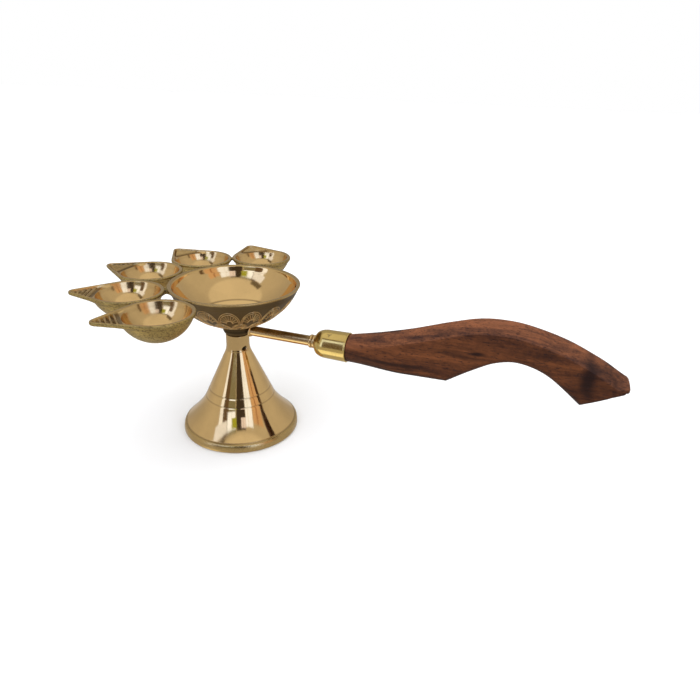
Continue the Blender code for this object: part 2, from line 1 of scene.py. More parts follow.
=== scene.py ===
"""Looks of a brass hand lamp with five leaf cups and a carved wooden handle.

The file is laid out as an add-on and is run as a script. Sizes are in metres, +Z is up and the
handle points along +X. The lamp's turned pieces share one upright axis at AXIS_X.
"""
import math

import bpy
import numpy as np
from bpy.props import FloatProperty, FloatVectorProperty, IntProperty, PointerProperty
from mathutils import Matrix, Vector, noise


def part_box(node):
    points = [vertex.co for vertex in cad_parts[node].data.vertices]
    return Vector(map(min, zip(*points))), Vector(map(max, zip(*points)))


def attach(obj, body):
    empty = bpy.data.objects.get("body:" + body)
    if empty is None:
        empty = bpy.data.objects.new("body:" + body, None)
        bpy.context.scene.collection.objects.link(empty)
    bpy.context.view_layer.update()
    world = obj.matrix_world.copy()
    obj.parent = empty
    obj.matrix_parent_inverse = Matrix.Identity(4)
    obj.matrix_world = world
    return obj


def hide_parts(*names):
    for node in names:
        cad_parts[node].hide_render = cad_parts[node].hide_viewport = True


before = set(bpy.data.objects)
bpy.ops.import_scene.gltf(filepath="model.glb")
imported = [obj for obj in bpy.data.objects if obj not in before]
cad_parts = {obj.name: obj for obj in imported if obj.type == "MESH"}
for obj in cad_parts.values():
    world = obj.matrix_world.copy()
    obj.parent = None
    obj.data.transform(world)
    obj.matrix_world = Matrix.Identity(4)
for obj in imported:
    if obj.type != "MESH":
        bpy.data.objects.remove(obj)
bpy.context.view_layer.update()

bl_info = {
    "name": "Brass Hand Lamp",
    "version": (1, 0, 0),
    "blender": (4, 5, 0),
    "location": "3D View > Sidebar > Hand Lamp",
    "description": "Builds the visible pieces of a brass hand lamp around its packed model",
    "category": "Object",
}

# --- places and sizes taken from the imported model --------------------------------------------

FOOT_LOW, FOOT_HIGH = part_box("bell_foot")
BOWL_LOW, BOWL_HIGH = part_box("centre_bowl")
BOSS_LOW, BOSS_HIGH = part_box("bowl_boss")
ROD_LOW, ROD_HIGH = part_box("handle_rod")
COLLAR_LOW, COLLAR_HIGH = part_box("rod_collar")
FERRULE_LOW, FERRULE_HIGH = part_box("ferrule")
TACK_LOW, TACK_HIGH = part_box("ferrule_tack")
HANDLE_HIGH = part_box("wooden_handle")[1]
WASHER_LOW, WASHER_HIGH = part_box("foot_washer")
BOLT_LOW, BOLT_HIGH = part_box("foot_bolt")

AXIS_X = (FOOT_LOW.x + FOOT_HIGH.x) / 2
RIM_Z = BOWL_HIGH.z
BOWL_RADIUS = (BOWL_HIGH.x - BOWL_LOW.x) / 2
BOWL_PAD_Z = BOWL_LOW.z
ROD_RADIUS = (ROD_HIGH.z - ROD_LOW.z) / 2
ROD_Z = (ROD_HIGH.z + ROD_LOW.z) / 2
BOSS_RADIUS = (BOSS_HIGH.y - BOSS_LOW.y) / 2
NECK_TOP = FOOT_HIGH.z
FOOT_RADIUS = (FOOT_HIGH.x - FOOT_LOW.x) / 2
FERRULE_RADIUS = (FERRULE_HIGH.y - FERRULE_LOW.y) / 2
HANDLE_START = FERRULE_HIGH.x
HANDLE_LENGTH = HANDLE_HIGH.x - HANDLE_START

# --- sizes of the pieces ---------------------------------------------------------------------

BOWL_SPHERE = 0.03545
BOWL_WALL = 0.0014
BOWL_CENTRE_Z = RIM_Z + math.sqrt(BOWL_SPHERE ** 2 - BOWL_RADIUS ** 2)

CUP_COUNT = 5
CUP_RADIUS = 0.0168
CUP_TIP = 0.0271
CUP_TIP_ROUND = 0.0030
CUP_DEPTH = 0.0133
CUP_WALL = 0.0014
CUP_SHELF = 0.0014
CUP_BASIN_RADIUS = 0.0146
CUP_DISTANCE = BOWL_RADIUS + 0.0010 + CUP_RADIUS
CUP_STEP = 2 * math.asin((CUP_RADIUS + 0.0002) / CUP_DISTANCE)
CUP_AXIS_STEP = math.radians(23.7)
BASIN_FALL = CUP_DEPTH - CUP_WALL - CUP_SHELF
BASIN_SPHERE = (CUP_BASIN_RADIUS ** 2 + BASIN_FALL ** 2) / (2 * BASIN_FALL)
BASIN_CENTRE_Z = BASIN_SPHERE - CUP_DEPTH + CUP_WALL

BOLT_HOLE = 0.0028
NECK_RADIUS = 0.0061

HANDLE_NECK_RADIUS = 0.0068
HANDLE_HALF_WIDTH = 0.0080
# Pairs of a share of the handle's length and a height above the rod's axis
HANDLE_TOP = ((0.00, 0.0068), (0.12, 0.0107), (0.25, 0.0156), (0.38, 0.0214), (0.49, 0.0254),
              (0.59, 0.0262), (0.68, 0.0248), (0.79, 0.0211), (0.90, 0.0152), (0.96, 0.0110),
              (1.00, 0.0081))
HANDLE_BOTTOM = ((0.00, -0.0068), (0.12, -0.0069), (0.25, -0.0063), (0.395, -0.0058),
                 (0.48, 0.0016), (0.56, 0.0073), (0.64, 0.0090), (0.74, 0.0051),
                 (0.857, -0.0057), (0.93, -0.0012), (1.00, 0.0040))
# The two pairs of HANDLE_BOTTOM where the underside turns sharply
HANDLE_CORNERS = (3, 8)
HANDLE_BUTT_ROUND = 0.0014

CAMERA_PLACE = (0.08446, -0.23894, 0.17211)
CAMERA_TURN = (65.162, -2.088, 18.814)
CAMERA_LENS = 28.8


# --- settings a user would change ------------------------------------------------------------

class LampSizes(bpy.types.PropertyGroup):
    """Sizes of the lamp's fine details."""
    tip_ridges: IntProperty(
        name="Tip Ridges", description="Steps across the point of each leaf cup",
        default=5, min=0, max=8)
    ridge_pitch: FloatProperty(
        name="Ridge Pitch", description="Distance from one tip ridge to the next",
        default=0.0020, unit="LENGTH", subtype="DISTANCE")
    ridge_height: FloatProperty(
        name="Ridge Height", description="How far a tip ridge stands above the shelf",
        default=0.0010, unit="LENGTH", subtype="DISTANCE")
    cast_depth: FloatProperty(
        name="Cast Skin Depth", description="Depth of the sand-cast skin on unpolished brass",
        default=0.00022, unit="LENGTH", subtype="DISTANCE")
    petals: IntProperty(
        name="Chased Petals", description="Petals in each row round the outside of the bowl",
        default=16, min=6, max=40)
    petal_rib: FloatProperty(
        name="Petal Rib Radius", description="Radius of the chased ribs that draw the petals",
        default=0.00019, unit="LENGTH", subtype="DISTANCE")
    thread_pitch: FloatProperty(
        name="Thread Pitch", description="Rise of the foot bolt's thread in one turn",
        default=0.0008, unit="LENGTH", subtype="DISTANCE")


class LampFinishes(bpy.types.PropertyGroup):
    """Colours of the lamp's brass and wood."""
    bright_brass: FloatVectorProperty(
        name="Bright Brass", description="Polished brass", subtype="COLOR", size=3,
        default=(0.85, 0.57, 0.25), min=0.0, max=1.0)
    # Besides tarnish, this colour paints shade: the boss's dark band, the foot's pit and the dark
    # top of the rod go through it.
    tarnish: FloatVectorProperty(
        name="Tarnish", description="Brown film in hollows and on unpolished brass",
        subtype="COLOR", size=3, default=(0.20, 0.13, 0.055), min=0.0, max=1.0)
    cast_brass: FloatVectorProperty(
        name="Cast Brass", description="Greenish yellow of brass left as cast",
        subtype="COLOR", size=3, default=(0.74, 0.54, 0.16), min=0.0, max=1.0)
    ferrule_brass: FloatVectorProperty(
        name="Ferrule Brass", description="Yellower brass of the ferrule", subtype="COLOR", size=3,
        default=(0.80, 0.57, 0.19), min=0.0, max=1.0)
    wood_light: FloatVectorProperty(
        name="Light Grain", description="Lightest wood between the dark streaks",
        subtype="COLOR", size=3, default=(0.225, 0.073, 0.026), min=0.0, max=1.0)
    wood_dark: FloatVectorProperty(
        name="Dark Grain", description="Darkest streaks in the wood",
        subtype="COLOR", size=3, default=(0.042, 0.013, 0.009), min=0.0, max=1.0)


# --- mesh helpers ----------------------------------------------------------------------------

def skin(name, rings, loop=False):
    """Join rings of points, or single points at the poles, into one closed skin."""
    points = []
    rows = []
    for ring in rings:
        ring = np.atleast_2d(ring)
        rows.append(range(len(points), len(points) + len(ring)))
        points.extend(ring.tolist())
    pairs = list(zip(rows, rows[1:]))
    if loop:
        pairs.append((rows[-1], rows[0]))
    faces = []
    for near, far in pairs:
        count = max(len(near), len(far))
        for i in range(count):
            j = (i + 1) % count
            if len(near) == 1:
                faces.append((near[0], far[j], far[i]))
            elif len(far) == 1:
                faces.append((near[i], near[j], far[0]))
            else:
                faces.append((near[i], near[j], far[j], far[i]))
    if not loop:
        for row, flip in ((rows[0], -1), (rows[-1], 1)):
            if len(row) > 1:
                faces.append(tuple(row)[::flip])
    mesh = bpy.data.meshes.new(name)
    mesh.from_pydata(points, [], faces)
    place = np.array(points)
    mesh.calc_loop_triangles()
    corners = np.empty(len(mesh.loop_triangles) * 3, dtype=np.int32)
    mesh.loop_triangles.foreach_get("vertices", corners)
    a, b, c = (place[corners[i::3]] for i in range(3))
    if np.sum(a * np.cross(b, c)) < 0.0:
        mesh.flip_normals()
    mesh.update()
    return mesh


def paint(mesh, name, values):
    """Keep a number at each point of the mesh for its material or its node tree to read."""
    attribute = mesh.attributes.new(name, "FLOAT", "POINT")
    every_point = values * np.ones(len(mesh.vertices))
    attribute.data.foreach_set("value", every_point.astype(np.float32))


def places(mesh):
    """The mesh's points as rows of three numbers."""
    flat = np.empty(len(mesh.vertices) * 3)
    mesh.vertices.foreach_get("co", flat)
    return flat.reshape(-1, 3)


def reach_from_axis(spots):
    """Each point's distance from the lamp's upright axis."""
    return np.hypot(spots[:, 0] - AXIS_X, spots[:, 1])


def set_places(mesh, rows):
    mesh.vertices.foreach_set("co", rows.astype(np.float32).ravel())
    mesh.update()


def eased(corners, steps=4, closed=False):
    """A profile through (radius, height, rounding) corners, with each corner rounded off."""
    made = []
    last = len(corners) - 1
    for i, (radius, height, rounding) in enumerate(corners):
        here = Vector((radius, height))
        if rounding <= 0.0 or (not closed and i in (0, last)):
            made.append(here)
            continue
        before = Vector(corners[i - 1][:2]) - here
        after = Vector(corners[(i + 1) % len(corners)][:2]) - here
        start = here + before.normalized() * min(rounding, before.length * 0.49)
        end = here + after.normalized() * min(rounding, after.length * 0.49)
        for step in range(steps + 1):
            t = step / steps
            made.append(start * (1 - t) ** 2 + here * 2 * t * (1 - t) + end * t * t)
    return [tuple(point) for point in made]


def filled(profile, spacing):
    """The same profile with its long straight runs cut into steps of about the spacing."""
    made = [profile[0]]
    for start, end in zip(profile, profile[1:]):
        run = math.dist(start, end)
        count = max(1, math.ceil(run / spacing))
        for i in range(1, count + 1):
            t = i / count
            made.append((start[0] + (end[0] - start[0]) * t, start[1] + (end[1] - start[1]) * t))
    return made


def rising(value, start, run):
    """A share that is 0 up to the start and 1 from a run beyond it."""
    return np.clip((value - start) / run, 0.0, 1.0)


def near_to(value, centre, width):
    """A share that is 1 at the centre and falls away smoothly on both sides of it."""
    return np.exp(-((value - centre) / width) ** 2)


def smooth_share(t):
    """A share from 0 to 1 that starts and ends gently."""
    return t * t * (3 - 2 * t)


def set_round(rings, turn, origin):
    """Rings made along +X, turned about an upright axis and moved to their place."""
    cos, sin = math.cos(turn), math.sin(turn)
    spin = np.array([[cos, sin, 0.0], [-sin, cos, 0.0], [0.0, 0.0, 1.0]])
    return [np.atleast_2d(ring) @ spin + origin for ring in rings]


def upright(radius, height, angle, middle=AXIS_X):
    """Points turned about an upright axis, the lamp's own unless another is given."""
    return np.stack([middle + radius * np.cos(angle), radius * np.sin(angle),
                     np.full_like(angle, height)], axis=1)


def along_rod(radius, run, angle):
    """Points turned about the rod's axis, with the run measured along +X."""
    return np.stack([np.full_like(angle, run), -radius * np.cos(angle),
                     ROD_Z + radius * np.sin(angle)], axis=1)


def turned(name, profile, steps, place=upright, loop=False):
    """Turn a (radius, height) profile about one of the two axes into a closed skin."""
    angle = np.arange(steps) * 2 * math.pi / steps
    rings = [place(r, h, angle if r > 1e-6 else np.zeros(1)) for r, h in profile]
    return skin(name, rings, loop)


def show(name, mesh, finish, slot, *nodes, body="lamp_head", angle=38.0):
    """Put a finished mesh in the scene as a piece that moves with a body.

    Edges flatter than the angle are shaded smooth, and None leaves the mesh's shading as it is.
    """
    if not mesh.polygons:
        raise RuntimeError(f"{name} has no faces")
    if angle is not None:
        mesh.shade_smooth()
        mesh.set_sharp_from_angle(angle=math.radians(angle))
    old = bpy.data.objects.get(name)
    if old is not None:
        bpy.data.objects.remove(old, do_unlink=True)
    piece = bpy.data.objects.new(name, mesh)
    bpy.context.scene.collection.objects.link(piece)
    mesh.materials.clear()
    mesh.materials.append(finishes()[finish])
    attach(piece, body)
    if nodes:
        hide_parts(*nodes)


# --- node helpers ----------------------------------------------------------------------------

def node(tree, kind, inputs=None, **settings):
    """Add a node, set its options, and set or link its inputs."""
    made = tree.nodes.new(kind)
    for key, value in settings.items():
        setattr(made, key, value)
    for key, value in (inputs or {}).items():
        socket = made.inputs[key]
        if isinstance(value, bpy.types.NodeSocket):
            tree.links.new(value, socket)
        else:
            socket.default_value = value
    return made


def maths(tree, operation, *values):
    made = node(tree, "ShaderNodeMath", dict(enumerate(values)), operation=operation)
    return made.outputs[0]


def vectors(tree, operation, first, second):
    second_input = "Scale" if operation == "SCALE" else 1
    made = node(tree, "ShaderNodeVectorMath", {0: first, second_input: second}, operation=operation)
    return made.outputs[0]


def joined(tree, x=0.0, y=0.0, z=0.0):
    return node(tree, "ShaderNodeCombineXYZ", {0: x, 1: y, 2: z}).outputs[0]


def faded(tree, value, start, end):
    """A smooth share that is 0 at the start value and 1 at the end value."""
    return node(tree, "ShaderNodeMapRange", {"Value": value, "From Min": start, "From Max": end},
                interpolation_type="SMOOTHSTEP").outputs[0]


def clamped(tree, value):
    return node(tree, "ShaderNodeClamp", {0: value}).outputs[0]


def ramp(tree, value, stops):
    made = node(tree, "ShaderNodeValToRGB", {0: value})
    elements = made.color_ramp.elements
    while len(elements) > 1:
        elements.remove(elements[-1])
    for i, (position, colour) in enumerate(stops):
        if not hasattr(colour, "__len__"):
            colour = (colour, colour, colour)
        element = elements[0] if i == 0 else elements.new(position)
        element.position = position
        element.color = (*colour, 1.0)
    return made.outputs[0]


def blended(tree, share, first, second, mode="MIX"):
    """Mix two colours by a share."""
    made = node(tree, "ShaderNodeMix", data_type="RGBA", blend_type=mode)
    for key, value in ((0, share), (6, first), (7, second)):
        socket = made.inputs[key]
        if isinstance(value, bpy.types.NodeSocket):
            tree.links.new(value, socket)
        elif hasattr(value, "__len__"):
            socket.default_value = (*value[:3], 1.0)
        else:
            socket.default_value = value
    return made.outputs[2]


def speckle(tree, vector, scale, detail=3.0, roughness=0.5, shift=(0, 0, 0)):
    """Noise of one scale, or of three scales along X, Y and Z."""
    if hasattr(scale, "__len__"):
        vector, scale = mapped(tree, vector, shift, scale), 1.0
    made = node(tree, "ShaderNodeTexNoise", {"Vector": vector, "Scale": scale, "Detail": detail,
                                             "Roughness": roughness})
    return made.outputs["Fac"]


def mapped(tree, vector, location=(0, 0, 0), scale=(1, 1, 1), rotation=(0, 0, 0)):
    made = node(tree, "ShaderNodeMapping", {"Vector": vector, "Location": location,
                                            "Scale": scale, "Rotation": rotation})
    return made.outputs[0]


def painted(tree, name):
    return node(tree, "ShaderNodeAttribute", attribute_name=name).outputs["Fac"]


def bumped(tree, height, distance, strength=1.0, normal=None):
    inputs = {"Height": height, "Distance": distance, "Strength": strength}
    if normal is not None:
        inputs["Normal"] = normal
    return node(tree, "ShaderNodeBump", inputs).outputs[0]


def new_material(name):
    made = bpy.data.materials.get(name)
    if made is not None:
        bpy.data.materials.remove(made)
    made = bpy.data.materials.new(name)
    made.use_nodes = True
    made.node_tree.nodes.clear()
    return made, made.node_tree


def finish_shader(tree, inputs):
    shader = node(tree, "ShaderNodeBsdfPrincipled", inputs)
    node(tree, "ShaderNodeOutputMaterial", {"Surface": shader.outputs[0]})


def object_place(tree):
    """Object coordinates, centred on the lamp's upright axis."""
    place = node(tree, "ShaderNodeTexCoord").outputs["Object"]
    return mapped(tree, place, location=(-AXIS_X, 0.0, 0.0))


def lathe_place(tree, axis):
    """Coordinates that are the same all round a turned piece: its radius and its run."""
    place = object_place(tree)
    if axis == "X":
        place = mapped(tree, place, location=(0.0, 0.0, -ROD_Z))
    parts = node(tree, "ShaderNodeSeparateXYZ", {0: place}).outputs
    across = (parts[1], parts[2]) if axis == "X" else (parts[0], parts[1])
    run = parts[0] if axis == "X" else parts[2]
    radius = maths(tree, "SQRT", maths(tree, "ADD", maths(tree, "POWER", across[0], 2.0),
                                       maths(tree, "POWER", across[1], 2.0)))
    return joined(tree, radius, run)


# --- finishes --------------------------------------------------------------------------------

def brass_finish(name, bright, film, cast, roughness, lathe=None, film_share=0.25):
    """Brass that reads what is painted on it: cast, and a brown film up to 1 and near-black above
    it, for tarnish, dirt, painted shade and a painted dark reflection.
    """
    made, tree = new_material(name)
    place = object_place(tree)
    soil_and_shade = painted(tree, "soil_and_shade")
    rough = painted(tree, "cast")
    cloud = ramp(tree, speckle(tree, place, 95.0, detail=5.0, roughness=0.6),
                 ((0.38, 0.0), (0.72, 1.0)))
    spots = ramp(tree, speckle(tree, place, 900.0, detail=4.0, roughness=0.7),
                 ((0.60, 0.0), (0.74, 1.0)))
    grain = speckle(tree, place, 1300.0, detail=5.0, roughness=0.7)
    share = maths(tree, "MULTIPLY", cloud, film_share)
    share = maths(tree, "MULTIPLY_ADD", spots, 0.35 * film_share, share)
    share = maths(tree, "MULTIPLY_ADD", soil_and_shade, 0.85, share)
    pits = ramp(tree, grain, ((0.40, 0.6), (0.52, 0.0)))
    share = maths(tree, "MULTIPLY_ADD", rough, pits, share)
    share = clamped(tree, share)
    colour = blended(tree, rough, bright, cast)
    colour = blended(tree, share, colour, film)
    # Past 1 the colour turns near-black: dirt on the bowl's outside and in a fleck inside it, and
    # painted shade in the boss's band and the foot's pit.
    grime_and_shade = clamped(tree, maths(tree, "SUBTRACT", soil_and_shade, 1.0))
    colour = blended(tree, grime_and_shade, colour, (0.016, 0.012, 0.008))
    shine = maths(tree, "MULTIPLY_ADD", share, 0.26, roughness)
    shine = maths(tree, "MULTIPLY_ADD", rough, 0.22, shine)
    shine = maths(tree, "MULTIPLY_ADD", cloud, 0.04, shine)
    normal = bumped(tree, speckle(tree, place, 140.0, detail=2.0), 0.00004, 0.6)
    normal = bumped(tree, grain, 0.00030, maths(tree, "MULTIPLY", rough, 0.9), normal)
    if lathe:
        marks = lathe_place(tree, lathe)
        lines = speckle(tree, marks, (9000.0, 9000.0, 1.0), detail=2.0)
        normal = bumped(tree, lines, 0.0000035, 0.5, normal)
    finish_shader(tree, {"Base Color": colour, "Metallic": 1.0, "Roughness": shine,
                         "Normal": normal})
    return made


def spot(tree, place, centre, size, turn, soft):
    """A soft-edged oval mark inside a piece, turned about Y."""
    near = mapped(tree, place, location=tuple(-c for c in centre))
    near = mapped(tree, near, rotation=(0.0, turn, 0.0))
    near = mapped(tree, near, scale=tuple(1 / c for c in size))
    reach = node(tree, "ShaderNodeVectorMath", {0: near}, operation="LENGTH").outputs["Value"]
    return faded(tree, reach, 1.0, 1.0 - soft)


def wood_finish(name, light, dark):
    """Oiled reddish wood: long dark streaks, a knot, a dark band, fine fibres and open pores."""
    made, tree = new_material(name)
    place = node(tree, "ShaderNodeTexCoord").outputs["Object"]
    wander = node(tree, "ShaderNodeTexNoise", {"Vector": mapped(tree, place, scale=(22, 60, 60)),
                                               "Scale": 1.0, "Detail": 4.0}).outputs["Color"]
    sway = vectors(tree, "SCALE", vectors(tree, "SUBTRACT", wander, (0.5, 0.5, 0.5)), 0.010)
    bent = vectors(tree, "ADD", place, sway)
    streaks = speckle(tree, bent, (10, 260, 210), detail=6.0, roughness=0.66)
    bands = speckle(tree, bent, (6, 90, 110), detail=2.0, shift=(3.1, 0.4, 0.2))
    mottle = speckle(tree, place, 420.0, detail=4.0, roughness=0.7)
    tone = maths(tree, "MULTIPLY_ADD", bands, 0.34, maths(tree, "MULTIPLY", streaks, 0.50))
    tone = maths(tree, "MULTIPLY_ADD", mottle, 0.16, tone)
    middle = [0.40 * a + 0.60 * b for a, b in zip(light, dark)]
    colour = ramp(tree, tone, ((0.40, dark), (0.46, middle), (0.54, light),
                               (0.64, [1.3 * c for c in light])))
    end, start = HANDLE_START + HANDLE_LENGTH, HANDLE_START
    marks = (
        ((end - 0.0165, 0.0, ROD_Z + 0.0078), (0.0046, 0.05, 0.0150), 0.14, 0.95),
        ((end - 0.0060, 0.0, ROD_Z + 0.0050), (0.0016, 0.05, 0.0080), 0.35, 0.45),
        ((start + 0.0610, -0.008, ROD_Z + 0.0102), (0.0058, 0.006, 0.0016), 0.05, 0.95),
        ((start + 0.0530, -0.008, ROD_Z + 0.0085), (0.0130, 0.006, 0.0030), -0.10, 0.45),
        ((start + 0.0240, -0.007, ROD_Z - 0.0012), (0.0300, 0.007, 0.0013), -0.02, 0.75),
        ((start + 0.0300, -0.007, ROD_Z - 0.0030), (0.0200, 0.007, 0.0008), 0.03, 0.55),
        ((start + 0.0920, -0.008, ROD_Z + 0.0165), (0.0090, 0.008, 0.0050), 0.70, 0.40),
        ((end - 0.0150, -0.008, ROD_Z + 0.0050), (0.0260, 0.012, 0.0110), 0.50, 0.45),
    )
    for centre, size, turn, depth in marks:
        stain = spot(tree, bent, centre, size, turn, 0.75)
        colour = blended(tree, maths(tree, "MULTIPLY", stain, depth), colour,
                         [0.55 * c for c in dark])
    fibres = speckle(tree, bent, (70, 1500, 1500))
    colour = blended(tree, 0.8, colour, ramp(tree, fibres, ((0.3, 0.55), (0.7, 1.0))), "MULTIPLY")
    pores = speckle(tree, place, (420, 1900, 1900), detail=2.0)
    pores = ramp(tree, pores, ((0.60, 0.0), (0.67, 1.0)))
    colour = blended(tree, maths(tree, "MULTIPLY", pores, 0.7), colour, [0.7 * c for c in dark])
    normal = bumped(tree, fibres, 0.00004, 0.6)
    normal = bumped(tree, maths(tree, "SUBTRACT", 1.0, pores), 0.00010, 0.8, normal)
    shine = maths(tree, "MULTIPLY_ADD", fibres, 0.20, 0.40)
    finish_shader(tree, {"Base Color": colour, "Roughness": shine, "Normal": normal,
                         "Specular IOR Level": 0.22})
    return made


def steel_finish(name):
    """Dull zinc-plated steel with a faint yellow cloud."""
    made, tree = new_material(name)
    place = object_place(tree)
    cloud = speckle(tree, place, 320.0, detail=4.0)
    colour = ramp(tree, cloud, ((0.3, (0.36, 0.36, 0.35)), (0.7, (0.60, 0.60, 0.56))))
    shine = maths(tree, "MULTIPLY_ADD", cloud, 0.25, 0.28)
    normal = bumped(tree, speckle(tree, place, 2400.0, detail=3.0), 0.00003, 0.6)
    finish_shader(tree, {"Base Color": colour, "Metallic": 1.0, "Roughness": shine,
                         "Normal": normal})
    return made


FINISHES = {}


def finishes():
    """Every finish of the lamp by name, made once."""
    if not FINISHES:
        made = bpy.context.scene.lamp_finishes
        bright = tuple(made.bright_brass)
        film = tuple(made.tarnish)
        cast = tuple(made.cast_brass)
        yellow = tuple(made.ferrule_brass)
        FINISHES.update({
            "bowl": brass_finish("bowl_brass", bright, film, cast, 0.07, "Z", 0.12),
            "cup": brass_finish("cup_brass", bright, film, cast, 0.09, film_share=0.20),
            "ribs": brass_finish("chased_brass", bright, film, cast, 0.20, film_share=0.15),
            "lug": brass_finish("lug_brass", bright, film, cast, 0.20, film_share=0.5),
            "boss": brass_finish("boss_brass", cast, film, cast, 0.20, film_share=0.9),
            "foot": brass_finish("foot_brass", bright, film, cast, 0.06, "Z", 0.12),
            "rod": brass_finish("rod_brass", bright, film, cast, 0.10, "X", 0.15),
            "ferrule": brass_finish("ferrule_brass", yellow, film, cast, 0.12, "X", 0.15),
            "tack": brass_finish("tack_brass", film, film, cast, 0.35),
            "wood": wood_finish("handle_wood", tuple(made.wood_light), tuple(made.wood_dark)),
            "steel": steel_finish("bolt_steel"),
        })
    return FINISHES


# --- node trees that make or shape pieces ----------------------------------------------------

def new_tree(name, sockets):
    """A geometry tree with named inputs, its group nodes, and the inputs' identifiers."""
    old = bpy.data.node_groups.get(name)
    if old is not None:
        bpy.data.node_groups.remove(old)
    tree = bpy.data.node_groups.new(name, "GeometryNodeTree")
    tree.interface.new_socket("Geometry", in_out="OUTPUT", socket_type="NodeSocketGeometry")
    tree.interface.new_socket("Geometry", in_out="INPUT", socket_type="NodeSocketGeometry")
    keys = {}
    for socket, kind in sockets:
        made = tree.interface.new_socket(socket, in_out="INPUT", socket_type="NodeSocket" + kind)
        keys[socket] = made.identifier
    return tree, tree.nodes.new("NodeGroupInput").outputs, tree.nodes.new("NodeGroupOutput"), keys


def end_tree(tree, geometry, material, end):
    """Every tree ends in Realize Instances and Set Material."""
    real = node(tree, "GeometryNodeRealizeInstances", {0: geometry}).outputs[0]
    done = node(tree, "GeometryNodeSetMaterial", {"Geometry": real, "Material": material})
    tree.links.new(done.outputs[0], end.inputs[0])


def grown_mesh(name, base, tree, keys, values):
    """Run a tree on a mesh and return the result as a plain mesh."""
    carrier = bpy.data.objects.new(name + "_carrier", base)
    bpy.context.scene.collection.objects.link(carrier)
    modifier = carrier.modifiers.new("tree", "NODES")
    modifier.node_group = tree
    for socket, value in values.items():
        modifier[keys[socket]] = value
    bpy.context.view_layer.update()
    graph = bpy.context.evaluated_depsgraph_get()
    mesh = bpy.data.meshes.new_from_object(carrier.evaluated_get(graph))
    carrier.modifiers.remove(modifier)
    bpy.data.objects.remove(carrier, do_unlink=True)
    mesh.name = name
    if not mesh.polygons:
        raise RuntimeError(f"the tree for {name} made no faces")
    return mesh


def cast_skin_tree():
    """Push the cast parts of a mesh in and out along their normals, as sand casting leaves them."""
    tree, given, end, keys = new_tree("cast_skin", (
        ("Depth", "Float"), ("Grain", "Float"), ("Seed", "Float"), ("Finish", "Material")))
    spot = node(tree, "GeometryNodeInputPosition").outputs[0]
    rough = node(tree, "ShaderNodeTexNoise", {"Vector": spot, "W": given["Seed"],
                                              "Scale": given["Grain"], "Detail": 3.0},
                 noise_dimensions="4D").outputs["Fac"]
    lift = maths(tree, "MULTIPLY", maths(tree, "SUBTRACT", rough, 0.5), given["Depth"])
    mask = node(tree, "GeometryNodeInputNamedAttribute", {"Name": "cast"}, data_type="FLOAT")
    lift = maths(tree, "MULTIPLY", lift, mask.outputs[0])
    normal = node(tree, "GeometryNodeInputNormal").outputs[0]
    moved = node(tree, "GeometryNodeSetPosition", {"Geometry": given["Geometry"],
                                                   "Offset": vectors(tree, "SCALE", normal, lift)})
    end_tree(tree, moved.outputs[0], given["Finish"], end)
    return tree, keys


def with_cast_skin(name, mesh, depth, seed, finish, grain=1100.0):
    tree, keys = cast_skin_tree()
    return grown_mesh(name, mesh, tree, keys, {"Depth": depth, "Grain": grain, "Seed": float(seed),
                                               "Finish": finishes()[finish]})


PETAL_ARCS = (0.97, 0.84, 0.30)
PETAL_VEINS = 9
# Each row's lowest and highest angle up the bowl's outside, from straight down
PETAL_ROWS = ((0.285, 0.50), (0.515, 0.765), (0.78, 1.055))


